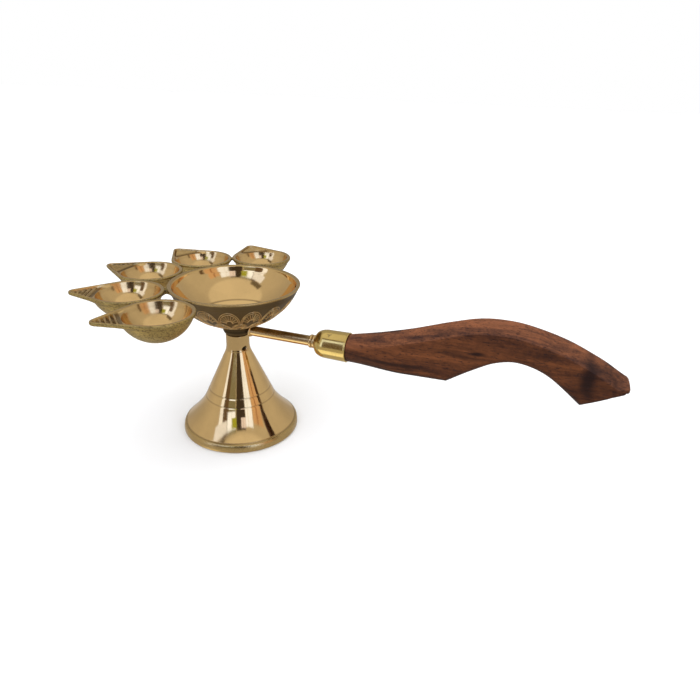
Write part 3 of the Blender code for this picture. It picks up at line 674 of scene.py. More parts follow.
def petal_tree():
    """Rows of ribbed petals on a sphere, drawn flat by angle and then wrapped round it."""
    tree, given, end, keys = new_tree("chased_petals", (
        ("Petals", "Int"), ("Rib Radius", "Float"), ("Sphere Radius", "Float"),
        ("Sphere Centre", "Vector"), ("Finish", "Material")))

    arc = node(tree, "GeometryNodeCurveArc", {"Resolution": 18, "Radius": 1.0, "Start Angle": 0.0,
                                              "Sweep Angle": math.pi}).outputs[0]
    parts = []
    for size in PETAL_ARCS:
        parts.append(node(tree, "GeometryNodeTransform", {
            "Geometry": arc, "Scale": (size, size, 1.0)}).outputs[0])
    vein = node(tree, "GeometryNodeCurvePrimitiveLine", {"Start": (0.34, 0.0, 0.0),
                                                         "End": (0.80, 0.0, 0.0)}).outputs[0]
    vein = node(tree, "GeometryNodeResampleCurve", {"Curve": vein, "Count": 5}).outputs[0]
    spokes = node(tree, "GeometryNodeMeshLine", {"Count": PETAL_VEINS, "Offset": (0.0, 0.0, 0.0)})
    index = node(tree, "GeometryNodeInputIndex").outputs[0]
    fan_step = math.pi / (PETAL_VEINS + 1)
    turn = maths(tree, "MULTIPLY_ADD", index, fan_step, fan_step)
    turn = node(tree, "FunctionNodeEulerToRotation", {0: joined(tree, z=turn)}).outputs[0]
    parts.append(node(tree, "GeometryNodeInstanceOnPoints", {
        "Points": spokes.outputs[0], "Instance": vein, "Rotation": turn}).outputs[0])
    petal = node(tree, "GeometryNodeJoinGeometry")
    for part in parts:
        tree.links.new(part, petal.inputs[0])
    step = maths(tree, "DIVIDE", 2 * math.pi, given["Petals"])
    rows = node(tree, "GeometryNodeJoinGeometry")
    for k, (low, high) in enumerate(PETAL_ROWS):
        start = maths(tree, "MULTIPLY", step, 0.5 * (k % 2))
        line = node(tree, "GeometryNodeMeshLine", {
            "Count": given["Petals"], "Start Location": joined(tree, start, low),
            "Offset": joined(tree, step)})
        size = joined(tree, maths(tree, "MULTIPLY", step, 0.49), high - low, 1.0)
        row = node(tree, "GeometryNodeInstanceOnPoints", {
            "Points": line.outputs[0], "Instance": petal.outputs[0], "Scale": size})
        tree.links.new(row.outputs[0], rows.inputs[0])
    flat = node(tree, "GeometryNodeRealizeInstances", {0: rows.outputs[0]}).outputs[0]
    spot = node(tree, "ShaderNodeSeparateXYZ",
                {0: node(tree, "GeometryNodeInputPosition").outputs[0]}).outputs
    ground = maths(tree, "SINE", spot[1])
    around = joined(tree, maths(tree, "MULTIPLY", ground, maths(tree, "COSINE", spot[0])),
                    maths(tree, "MULTIPLY", ground, maths(tree, "SINE", spot[0])),
                    maths(tree, "MULTIPLY", maths(tree, "COSINE", spot[1]), -1.0))
    around = vectors(tree, "SCALE", around, given["Sphere Radius"])
    around = vectors(tree, "ADD", around, given["Sphere Centre"])
    wrapped = node(tree, "GeometryNodeSetPosition", {"Geometry": flat, "Position": around})
    wire = node(tree, "GeometryNodeCurvePrimitiveCircle", {"Resolution": 6,
                                                           "Radius": given["Rib Radius"]})
    ribs = node(tree, "GeometryNodeCurveToMesh", {"Curve": wrapped.outputs[0],
                                                  "Profile Curve": wire.outputs[0],
                                                  "Fill Caps": True})
    end_tree(tree, ribs.outputs[0], given["Finish"], end)
    return tree, keys


def thread_tree():
    """A helical ridge round an upright rod."""
    tree, given, end, keys = new_tree("bolt_thread", (
        ("Radius", "Float"), ("Pitch", "Float"), ("Turns", "Float"), ("Foot", "Vector"),
        ("Finish", "Material")))
    height = maths(tree, "MULTIPLY", given["Pitch"], given["Turns"])
    coil = node(tree, "GeometryNodeCurveSpiral", {
        "Resolution": 28, "Rotations": given["Turns"], "Start Radius": given["Radius"],
        "End Radius": given["Radius"], "Height": height}).outputs[0]
    coil = node(tree, "GeometryNodeTransform", {"Geometry": coil, "Translation": given["Foot"]})
    coil = node(tree, "GeometryNodeSetCurveNormal", {"Curve": coil.outputs[0]}, mode="Z_UP")
    ridge = node(tree, "GeometryNodeCurvePrimitiveCircle", {
        "Resolution": 4, "Radius": maths(tree, "MULTIPLY", given["Pitch"], 0.48)})
    made = node(tree, "GeometryNodeCurveToMesh", {
        "Curve": coil.outputs[0], "Profile Curve": ridge.outputs[0], "Fill Caps": True})
    end_tree(tree, made.outputs[0], given["Finish"], end)
    return tree, keys


# --- centre bowl -----------------------------------------------------------------------------

BOWL_PAD_RADIUS = 0.0075
# Incised lines as (place, width, depth), by the run down from the lip outside, by radius inside
BOWL_OUTSIDE_LINES = ((0.0028, 0.0005, 0.00016), (0.0037, 0.0005, 0.00016),
                      (0.0325, 0.0006, 0.00016))
BOWL_INSIDE_LINES = ((0.0185, 0.0005, 0.00014), (0.0301, 0.0004, 0.00005))


def incised(run, lines):
    """Depth of the rounded grooves at a distance along a profile."""
    return sum(depth * math.exp(-((run - centre) / (width / 2)) ** 2)
               for centre, width, depth in lines)


def bowl_profile():
    """From the centre underneath, up the outside, over the lip, and down to the floor's centre."""
    outer_angle = math.asin(BOWL_RADIUS / BOWL_SPHERE)
    pad_angle = math.asin(BOWL_PAD_RADIUS / BOWL_SPHERE)
    profile = [(0.0, BOWL_PAD_Z), (0.0040, BOWL_PAD_Z), (BOWL_PAD_RADIUS - 0.0004, BOWL_PAD_Z)]
    rows = 96
    for i in range(rows + 1):
        angle = pad_angle + (outer_angle - 0.022 - pad_angle) * i / rows
        run = (outer_angle - angle) * BOWL_SPHERE
        radius = BOWL_SPHERE - incised(run, BOWL_OUTSIDE_LINES)
        profile.append((radius * math.sin(angle), BOWL_CENTRE_Z - radius * math.cos(angle)))
    inner = BOWL_SPHERE - BOWL_WALL
    inner_rim = math.sqrt(inner ** 2 - (BOWL_CENTRE_Z - RIM_Z) ** 2)
    profile += eased([
        (BOWL_RADIUS - 0.0002, RIM_Z - 0.0008, 0.0), (BOWL_RADIUS, RIM_Z - 0.0004, 0.0003),
        (BOWL_RADIUS - 0.0003, RIM_Z, 0.0004), (inner_rim - 0.0002, RIM_Z - 0.0001, 0.0005),
        (inner_rim - 0.0007, RIM_Z - 0.0007, 0.0004), (inner_rim - 0.0008, RIM_Z - 0.0013, 0.0)], 4)
    floor = BOWL_PAD_Z + BOWL_WALL
    floor_angle = math.acos((BOWL_CENTRE_Z - floor) / inner)
    top_angle = math.asin((inner_rim - 0.0011) / inner)
    rows = 88
    for i in range(1, rows):
        angle = top_angle + (floor_angle - top_angle) * i / rows
        radius = inner + incised(inner * math.sin(angle), BOWL_INSIDE_LINES)
        profile.append((radius * math.sin(angle), BOWL_CENTRE_Z - radius * math.cos(angle)))
    edge = inner * math.sin(floor_angle)
    profile += [(edge, floor), (edge * 0.8, floor), (edge * 0.5, floor), (0.0012, floor),
                (0.0006, floor), (0.00045, floor - 0.0002), (0.0, floor - 0.0003)]
    return profile


def make_bowl(sizes):
    mesh = turned("bowl", bowl_profile(), 300)
    spots = places(mesh)
    radius = reach_from_axis(spots)
    depth = np.sqrt(radius ** 2 + (spots[:, 2] - BOWL_CENTRE_Z) ** 2)
    wall = rising(depth, BOWL_SPHERE - BOWL_WALL + 0.0002, 0.0006)
    low = (spots[:, 2] < BOWL_PAD_Z + 0.0006).astype(float)
    outside = np.maximum(wall, low)
    groove = near_to(radius, BOWL_INSIDE_LINES[0][0], 0.0004) * (1 - outside)
    mark = near_to(radius, 0.0, 0.0006) * (1 - low)
    lip = rising(radius, 0.0308, 0.0004) * rising(spots[:, 2], RIM_Z - 0.0012, 0.0006)
    fleck = np.hypot(spots[:, 0] - AXIS_X + 0.0056, spots[:, 1] - 0.0010)
    fleck = np.exp(-(fleck / 0.0007) ** 4) * (1 - outside)
    paint(mesh, "soil_and_shade", 1.18 * outside * (1 - lip) + 0.40 * lip + 0.8 * groove + mark + 2 * fleck)
    paint(mesh, "cast", 0.60 * outside * (1 - lip) + 0.25 * lip)
    show("bowl", mesh, "bowl", "bowl_brass", "centre_bowl")
    tree, keys = petal_tree()
    ribs = grown_mesh("bowl_chasing", bpy.data.meshes.new("petal_seed"), tree, keys, {
        "Petals": sizes.petals, "Rib Radius": sizes.petal_rib, "Sphere Radius": BOWL_SPHERE,
        "Sphere Centre": (AXIS_X, 0.0, BOWL_CENTRE_Z), "Finish": finishes()["ribs"]})
    ribs.shade_smooth()
    paint(ribs, "soil_and_shade", 0.08)
    show("bowl_chasing", ribs, "ribs", "bowl_brass", angle=None)


# --- leaf cups -------------------------------------------------------------------------------

def leaf_reach(angle, inset):
    """Distance from the basin's centre to the leaf's edge moved in by inset, for each angle."""
    radius = CUP_RADIUS - inset
    nose = np.maximum(CUP_TIP_ROUND - inset, 1e-4)
    nose_centre = CUP_TIP - CUP_TIP_ROUND
    tangent = np.arccos((radius - nose) / nose_centre)
    nose_end = np.arctan2(nose * np.sin(tangent), nose_centre + nose * np.cos(tangent))
    turn = np.abs(np.arctan2(np.sin(angle), np.cos(angle)))
    side = radius / np.cos(np.clip(turn - tangent, -1.5, 1.5))
    across = nose_centre * np.sin(turn)
    tip = nose_centre * np.cos(turn) + np.sqrt(np.maximum(nose ** 2 - across ** 2, 0.0))
    return np.where(turn >= tangent, radius, np.where(turn >= nose_end, side, tip))


def cup_angles():
    """Angles round a cup, closer together at its point."""
    even = np.linspace(0.0, 1.0, 176, endpoint=False) * 2 * math.pi
    return even - 0.42 * np.sin(even)


def tip_ridges(x, sizes):
    """Height of the steps across the cup's point, by distance from the basin's centre."""
    start = CUP_BASIN_RADIUS + 0.0012
    lift = np.zeros_like(x)
    for i in range(sizes.tip_ridges):
        offset = (x - (start + (i + 0.5) * sizes.ridge_pitch)) / (0.30 * sizes.ridge_pitch)
        lift = np.maximum(lift, sizes.ridge_height * np.exp(-offset ** 4))
    return lift


def cup_rings(sizes):
    """Rings of a leaf cup about its basin's centre, from the underside's pole to the basin's."""
    angle = cup_angles()
    rings = []
    cast = []
    soil_and_shade = []

    def add(reach, height, is_cast, is_soiled):
        reach = np.broadcast_to(np.asarray(reach, float), angle.shape)
        height = np.broadcast_to(np.asarray(height, float), angle.shape)
        rings.append(np.stack([reach * np.cos(angle), reach * np.sin(angle), height], axis=1))
        cast.append(np.full(angle.shape, is_cast))
        soil_and_shade.append(np.broadcast_to(np.asarray(is_soiled, float), angle.shape))

    outer = BASIN_SPHERE + CUP_WALL
    under = -CUP_SHELF - CUP_WALL
    end = math.acos((BASIN_CENTRE_Z - under) / outer)
    for i in range(1, 27):
        tilt = end * i / 26
        add(outer * math.sin(tilt), BASIN_CENTRE_Z - outer * math.cos(tilt), 0.8,
            0.04 + 0.34 * i / 26)
    root = outer * math.sin(end)
    edge = leaf_reach(angle, 0.0005)
    for i in range(1, 27):
        t = i / 26
        rise = 0.0010 * t ** 1.6
        add(root + (edge - root) * t, under + rise, 0.9, 0.60 - 0.2 * t)
    for inset, height, is_soiled in ((0.00022, -0.0016, 0.5), (0.00004, -0.0013, 0.4),
                                     (0.0, -0.0010, 0.35), (0.0, -0.0006, 0.35),
                                     (0.00010, -0.00025, 0.35), (0.00030, -0.00006, 0.3)):
        add(leaf_reach(angle, inset), height, 0.8, is_soiled)
    pointed = np.clip((leaf_reach(angle, 0.0) - CUP_RADIUS - 0.0002) / 0.0030, 0.0, 1.0)
    pointed = smooth_share(pointed)
    for inset, height, round_inset, round_height, is_soiled in (
            (0.00050, 0.0, 0.0005, 0.0, 0.25), (0.00085, -0.00002, 0.0011, -0.00001, 0.25),
            (0.00108, -0.00018, 0.0015, -0.00006, 0.3), (0.00122, -0.0006, 0.0017, -0.00018, 0.3),
            (0.00135, -0.0011, 0.0018, -0.00032, 0.45)):
        soiled = is_soiled * pointed + 0.3 * (1 - pointed)
        add(leaf_reach(angle, round_inset + (inset - round_inset) * pointed),
            round_height + (height - round_height) * pointed, 0.15, soiled)
    outer_shelf = leaf_reach(angle, 0.0019 - 0.0003 * pointed)
    for i in range(49):
        t = i / 48
        reach = outer_shelf + (CUP_BASIN_RADIUS - outer_shelf) * t
        along = reach * np.cos(angle)
        near_lip = np.clip((outer_shelf - reach) / 0.0006, 0.0, 1.0)
        ridge = tip_ridges(along, sizes) * near_lip
        ridge = ridge * (along > CUP_BASIN_RADIUS + 0.0004)
        slope = (1 - t) * (1 - pointed) * (CUP_SHELF - 0.0005)
        crest = ridge / max(sizes.ridge_height, 1e-6)
        add(reach, -CUP_SHELF + ridge + slope, 0.1 * pointed,
            pointed * (0.80 - 0.70 * crest) * (along > CUP_BASIN_RADIUS) + 0.10)
    opening = math.asin(CUP_BASIN_RADIUS / BASIN_SPHERE)
    for i in range(1, 30):
        tilt = opening * (1 - i / 30)
        add(BASIN_SPHERE * math.sin(tilt), BASIN_CENTRE_Z - BASIN_SPHERE * math.cos(tilt),
            0.0, 0.05 if i > 2 else 0.15)
    floor = [[0.0, 0.0, BASIN_CENTRE_Z - BASIN_SPHERE]]
    underside = [[0.0, 0.0, BASIN_CENTRE_Z - outer]]
    cast = np.concatenate([[1.0], np.concatenate(cast), [0.0]])
    soil_and_shade = np.concatenate([[0.3], np.concatenate(soil_and_shade), [0.05]])
    return [underside] + rings + [floor], cast, soil_and_shade


def cup_place(index):
    """Angle of a cup about the lamp's axis, its own turn, and its centre."""
    middle = (CUP_COUNT - 1) / 2
    angle = math.pi + (index - middle) * CUP_STEP
    turn = math.pi + (index - middle) * CUP_AXIS_STEP
    centre = np.array([AXIS_X + CUP_DISTANCE * math.cos(angle), CUP_DISTANCE * math.sin(angle),
                       RIM_Z])
    return angle, turn, centre


def make_cup(index, sizes):
    rings, cast, soil_and_shade = cup_rings(sizes)
    turn, centre = cup_place(index)[1:]
    mesh = skin(f"cup_{index + 1}", set_round(rings, turn, centre))
    paint(mesh, "cast", cast)
    paint(mesh, "soil_and_shade", soil_and_shade)
    mesh = with_cast_skin(f"cup_{index + 1}", mesh, sizes.cast_depth, index + 1, "cup")
    show(f"cup_{index + 1}", mesh, "cup", "cup_brass", f"leaf_cup_{index + 1}")


# --- lugs and bridges ------------------------------------------------------------------------

WEB_SINK = 0.0005
# Half width, top and bottom from the rim, and how far the ends reach down below the middle
LUG_WEB = (0.0015, -0.0002, -0.0030, 0.0016)
BRIDGE_WEB = (0.0016, -0.0002, -0.0017, 0.0009)


def cup_outside(height):
    """Radius of a cup's outside at a height below its rim."""
    under = -CUP_SHELF - CUP_WALL
    outer = BASIN_SPHERE + CUP_WALL
    root = math.sqrt(outer ** 2 - (BASIN_CENTRE_Z - under) ** 2)
    if height > under + 0.0010:
        return CUP_RADIUS - 0.0002
    if height > under:
        return root + (CUP_RADIUS - 0.0004 - root) * (height - under) / 0.0010
    return math.sqrt(max(outer ** 2 - (BASIN_CENTRE_Z - height) ** 2, 1e-8))


def bowl_outside(height):
    return math.sqrt(BOWL_SPHERE ** 2 - (BOWL_CENTRE_Z - RIM_Z - height) ** 2)


def part_way(radius, across):
    """How far out a circle of the radius stands at a distance across from its middle."""
    return math.sqrt(max(radius ** 2 - across ** 2, 0.0))


def brazed_web(half_width, top, bottom, arch, near, far):
    """Rings of a waisted web whose ends sink into the two surfaces that near and far give."""
    rings = []
    steps, sides = 16, 32
    for k in range(steps + 1):
        t = k / steps
        flare = abs(2 * t - 1) ** 2
        ring = []
        for i in range(sides):
            angle = 2 * math.pi * i / sides
            side = math.copysign(abs(math.cos(angle)) ** 0.7, math.cos(angle))
            rise = math.copysign(abs(math.sin(angle)) ** 0.7, math.sin(angle))
            across = half_width * (1.0 + 0.9 * flare) * side
            height = (top + bottom) / 2 + (top - bottom) / 2 * rise
            if rise < 0.0:
                height += arch * flare * rise
            start, end = near(across, height), far(across, height)
            ring.append((start + (end - start) * t, across, height))
        rings.append(np.array(ring))
    return rings


def place_web(name, rings, origin, turn, seed, sizes, node_name):
    mesh = skin(name, set_round(rings, turn, origin))
    paint(mesh, "cast", 1.0)
    paint(mesh, "soil_and_shade", 0.45)
    mesh = with_cast_skin(name, mesh, 1.2 * sizes.cast_depth, seed, "lug")
    show(name, mesh, "lug", "lug_brass", node_name, angle=60.0)


def make_lugs(sizes):
    for i in range(CUP_COUNT):
        angle = cup_place(i)[0]

        def near(across, height):
            return part_way(bowl_outside(height), across) - WEB_SINK

        def far(across, height):
            return CUP_DISTANCE - part_way(cup_outside(height), across) + WEB_SINK

        rings = brazed_web(*LUG_WEB, near, far)
        place_web(f"lug_{i + 1}", rings, np.array([AXIS_X, 0.0, RIM_Z]), angle, 11 + i, sizes,
                  f"cup_lug_{i + 1}")


def make_bridges(sizes):
    middle = CUP_DISTANCE * math.cos(CUP_STEP / 2)
    half_gap = CUP_DISTANCE * math.sin(CUP_STEP / 2)
    for i in range(CUP_COUNT - 1):
        angle = (cup_place(i)[0] + cup_place(i + 1)[0]) / 2

        def far(across, height):
            return half_gap - part_way(cup_outside(height), across) + WEB_SINK

        def near(across, height):
            return -far(across, height)

        rings = brazed_web(*BRIDGE_WEB, near, far)
        origin = np.array([AXIS_X + middle * math.cos(angle), middle * math.sin(angle), RIM_Z])
        place_web(f"bridge_{i + 1}", rings, origin, angle + math.pi / 2, 21 + i, sizes,
                  f"cup_bridge_{i + 1}")


# --- boss, foot, washer and bolt -------------------------------------------------------------

def make_boss(sizes):
    low, high = BOSS_LOW.z - 0.0002, BOWL_PAD_Z + 0.0001
    side = BOSS_RADIUS
    profile = eased([
        (BOLT_HOLE, high, 0.0001), (side, high, 0.0002), (side, high - 0.0011, 0.0002),
        (side - 0.0003, high - 0.0013, 0.0001), (side - 0.0003, high - 0.0016, 0.0001),
        (side - 0.0001, high - 0.0019, 0.0003), (side - 0.0003, low + 0.0015, 0.0009),
        (side - 0.0014, low + 0.0002, 0.0008), (side - 0.0024, low, 0.0003),
        (BOLT_HOLE, low, 0.0002)], 4, closed=True)
    mesh = turned("boss", filled(profile, 0.0005), 128, loop=True)
    spots = places(mesh)
    paint(mesh, "cast", rising(reach_from_axis(spots), 0.0040, 0.0010))
    # Painted shadow: a band round the boss a little above its foot is pushed past a full film, so
    # it renders near-black.
    shade = near_to(spots[:, 2], low + 0.0026, 0.0012)
    paint(mesh, "soil_and_shade", 0.75 + 0.8 * shade)
    mesh = with_cast_skin("boss", mesh, 0.7 * sizes.cast_depth, 31, "boss", 900.0)
    show("boss", mesh, "boss", "boss_brass", "bowl_boss")


def bend(start, middle, end, steps):
    shares = [i / steps for i in range(steps + 1)]
    return [tuple(start[k] * (1 - t) ** 2 + middle[k] * 2 * t * (1 - t) + end[k] * t * t
                  for k in (0, 1)) for t in shares]


# Incised lines as (height, width, depth)
FOOT_LINES = ((0.0236, 0.0005, 0.00016), (0.0192, 0.0005, 0.00016), (0.0455, 0.0004, 0.00010))
# Radius of the foot's hollow against height, with a little to spare
HOLLOW_HEIGHTS = (0.0, 0.005, 0.019, 0.042, 0.05)
HOLLOW_RADII = (0.0295, 0.0285, 0.0172, 0.0066, 0.0040)
# The pit in the foot's neck
PIT_TURN, PIT_SLANT = math.radians(27.0), math.radians(24.0)
PIT_BELOW_TOP = 0.0072
PIT_LENGTH, PIT_WIDTH, PIT_DEPTH = 0.00145, 0.00095, 0.0014


def foot_outside():
    """The foot's side from the neck's top down to the resting edge."""
    cone_top = (0.0080, 0.0420)
    cone_base = (0.0184, 0.0190)
    slope = (cone_base[0] - cone_top[0]) / (cone_top[1] - cone_base[1])
    corner = cone_top[1] + (cone_top[0] - NECK_RADIUS) / slope
    soft = 0.0025
    points = eased([(NECK_RADIUS - 0.0006, NECK_TOP, 0.0), (NECK_RADIUS, NECK_TOP, 0.00035),
                    (NECK_RADIUS, corner + soft, 0.0)], 3)
    points += bend((NECK_RADIUS, corner + soft), (NECK_RADIUS, corner),
                   (NECK_RADIUS + slope * soft, corner - soft), 8)[1:]
    points.append(cone_base)
    lip_top = (0.0294, 0.0050)
    fall, spread = cone_base[1] - lip_top[1], lip_top[0] - cone_base[0]
    drop = (1.05 * fall - spread) / (1.05 - slope)
    points += bend(cone_base, (cone_base[0] + slope * drop, cone_base[1] - drop), lip_top, 26)[1:]
    points += eased([(*lip_top, 0.0), (0.0294, 0.0048, 0.0001), (0.0299, 0.0045, 0.0004),
                     (0.0308, 0.0037, 0.0008), (FOOT_RADIUS, 0.0016, 0.0012),
                     (FOOT_RADIUS, 0.0004, 0.0004), (FOOT_RADIUS - 0.0005, 0.0, 0.0)], 4)[1:]
    return points


def foot_profile():
    outside = filled(foot_outside(), 0.0004)
    cut = []
    for radius, height in outside:
        sunk = incised(height, FOOT_LINES)
        cut.append((radius - sunk, height - 0.4 * sunk))
    ceiling = WASHER_HIGH.z + 0.0003
    inside = [(FOOT_RADIUS - 0.0022, 0.0), (0.0286, 0.0010), (0.0274, 0.0040)]
    inside += bend((0.0266, 0.0056), (0.0196, 0.0116), (0.0162, 0.0200), 14)
    inside += [(0.0075, ceiling - 0.0012), (0.0068, ceiling)]
    inner = eased([(r, z, 0.0006) for r, z in inside] + [(BOLT_HOLE, ceiling, 0.0002),
                                                       (BOLT_HOLE, NECK_TOP, 0.0002)], 2)
    return cut + filled(inner, 0.0012)


def make_foot():
    mesh = turned("foot", foot_profile(), 256, loop=True)
    spots = places(mesh)
    x, y, z = spots[:, 0] - AXIS_X, spots[:, 1], spots[:, 2]
    radius = np.hypot(x, y)
    angle = np.arctan2(y, x)
    run = (angle + PIT_TURN) * NECK_RADIUS
    rise = z - (NECK_TOP - PIT_BELOW_TOP)
    u = (run * math.cos(PIT_SLANT) + rise * math.sin(PIT_SLANT)) / PIT_LENGTH
    v = (-run * math.sin(PIT_SLANT) + rise * math.cos(PIT_SLANT)) / PIT_WIDTH
    on_neck = (radius > NECK_RADIUS - 0.0004) & (np.abs(z - 0.047) < 0.004)
    pit = np.exp(-(u * u + v * v) ** 2) * on_neck
    sink = PIT_DEPTH * pit / np.maximum(radius, 1e-6)
    spots[:, 0] -= x * sink
    spots[:, 1] -= y * sink
    set_places(mesh, spots)
    hollow = radius < np.interp(z, HOLLOW_HEIGHTS, HOLLOW_RADII)
    grooves = sum(near_to(z, height, 0.00028) for height in (0.0236, 0.0192, 0.0047))
    neck = rising(z, 0.0452, 0.0010) * ~hollow
    lip = (z < 0.0046) * ~hollow
    # Painted shade: the neck's pit is pushed far past a full film, so it renders near-black; the
    # grooves, neck, lip and hollow get a brown film.
    soil_and_shade = 0.5 * grooves * ~hollow + 0.20 * neck + 0.30 * lip + 0.75 * hollow + 2 * pit
    paint(mesh, "soil_and_shade", soil_and_shade)
    paint(mesh, "cast", 0.25 * lip)
    show("foot", mesh, "foot", "foot_brass", "bell_foot", body="foot", angle=30.0)


def make_washer():
    low, high = WASHER_LOW.z, WASHER_HIGH.z
    radius = (WASHER_HIGH.y - WASHER_LOW.y) / 2
    profile = eased([(BOLT_HOLE, high, 0.0001), (radius, high, 0.00015), (radius, low, 0.0002),
                     (BOLT_HOLE, low, 0.0001)], 3, closed=True)
    mesh = turned("washer", profile, 72, loop=True)
    show("washer", mesh, "steel", "bolt_steel", "foot_washer", body="foot")


BOLT_HEAD_RADIUS = 0.0046
BOLT_CORE = 0.0021


def make_bolt(sizes):
    head_low, head_high = BOLT_LOW.z, WASHER_LOW.z - 0.0003
    across, core, steps = BOLT_HEAD_RADIUS, BOLT_CORE, 72
    angle = np.arange(steps) * 2 * math.pi / steps
    hexagon = across * math.cos(math.pi / 6) / np.cos((angle % (math.pi / 3)) - math.pi / 6)
    top = BOLT_HIGH.z
    rings = [upright(0.0, head_low, np.zeros(1)), upright(across * 0.66, head_low, angle)]
    for share, height in ((0.84, head_low), (0.90, head_low + 0.0002), (1.0, head_low + 0.0007),
                          (1.0, head_high - 0.0001), (0.99, head_high)):
        reach = np.minimum(hexagon, across * (share if share < 1.0 else 2.0))
        rings.append(upright(reach, height, angle))
    rings += [upright(core, head_high, angle), upright(core, top - 0.0005, angle),
              upright(core - 0.0004, top, angle), upright(0.0, top, np.zeros(1))]
    mesh = skin("bolt", rings)
    show("bolt", mesh, "steel", "bolt_steel", "foot_bolt", body="bolt", angle=30.0)
    tree, keys = thread_tree()
    length = top - 0.0009 - head_high
    turns = math.floor((length - sizes.thread_pitch) / sizes.thread_pitch)
    foot = (AXIS_X, 0.0, head_high + 0.7 * sizes.thread_pitch)
    thread = grown_mesh("bolt_thread", bpy.data.meshes.new("thread_seed"), tree, keys, {
        "Radius": core, "Pitch": sizes.thread_pitch, "Turns": float(turns), "Foot": foot,
        "Finish": finishes()["steel"]})
    show("bolt_thread", thread, "steel", "bolt_steel", body="bolt", angle=None)


# --- rod, collar, ferrule and tack -----------------------------------------------------------

def make_rod():
    start, end = ROD_LOW.x, ROD_HIGH.x
    shoulder = AXIS_X + BOSS_RADIUS + 0.0002
    tenon = 0.00125
    profile = eased([(0.0, start, 0.0), (tenon, start, 0.0002), (tenon, shoulder, 0.0),
                     (ROD_RADIUS, shoulder, 0.0002), (ROD_RADIUS, end, 0.0003), (0.0, end, 0.0)], 3)
    mesh = turned("rod", filled(profile, 0.0010), 64, along_rod)
    spots = places(mesh)
    # Painted reflection: the rod's top half gets a brown film that paints in the dark reflection
    # along its top; the film round the shoulder darkens its joint with the boss.
    painted_dark_top = np.clip((spots[:, 2] - ROD_Z) / ROD_RADIUS + 0.3, 0.0, 1.0)
    paint(mesh, "soil_and_shade", 0.5 * near_to(spots[:, 0], shoulder, 0.0012) + 0.60 * painted_dark_top)
    show("rod", mesh, "rod", "rod_brass", "handle_rod")
    low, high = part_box("rod_braze_ring")
    outer = (high.z - low.z) / 2
    inner, back = 0.0016, high.x + 0.0002
    bead = eased([(inner, low.x - 0.0002, 0.0), (outer, low.x, 0.0003),
                  (outer, high.x - 0.0003, 0.0004), (ROD_RADIUS + 0.0001, back, 0.0003),
                  (inner, back, 0.0)], 4, closed=True)
    mesh = turned("braze_bead", bead, 64, along_rod, loop=True)
    spots = places(mesh)
    for i, spot in enumerate(spots):
        swell = noise.noise(Vector(spot) * 1400.0) * 0.00010
        spots[i, 1] += spot[1] / outer * swell
        spots[i, 2] += (spot[2] - ROD_Z) / outer * swell
    set_places(mesh, spots)
    show("braze_bead", mesh, "rod", "rod_brass", "rod_braze_ring")


def make_collar():
    low, high = COLLAR_LOW.x, COLLAR_HIGH.x
    outer = (COLLAR_HIGH.z - COLLAR_LOW.z) / 2
    inner = ROD_RADIUS + 0.0001
    profile = eased([
        (inner, low, 0.0001), (outer - 0.0002, low, 0.0002), (outer, low + 0.0003, 0.0002),
        (outer, low + 0.0013, 0.0002), (outer - 0.0004, low + 0.0015, 0.0001),
        (outer - 0.0004, low + 0.0018, 0.0001), (outer, low + 0.0020, 0.0002),
        (outer, high - 0.0002, 0.0002), (outer - 0.0003, high, 0.0001), (inner, high, 0.0001)], 3,
        closed=True)
    mesh = turned("collar", profile, 72, along_rod, loop=True)
    spots = places(mesh)
    paint(mesh, "soil_and_shade", 0.9 * np.exp(-((spots[:, 0] - low - 0.00165) / 0.0002) ** 2))
    show("collar", mesh, "rod", "rod_brass", "rod_collar")


def stroke(u, v, angle, length, width):
    """Depth share of a short straight scratch that leaves the origin at an angle."""
    along = u * math.cos(angle) + v * math.sin(angle)
    across = -u * math.sin(angle) + v * math.cos(angle)
    beyond = np.maximum(np.maximum(-along, along - length), 0.0)
    return np.exp(-((across ** 2 + beyond ** 2) / width ** 2))


FERRULE_DOME = 0.0060
MARK_STROKES = (35.0, 150.0, 265.0)


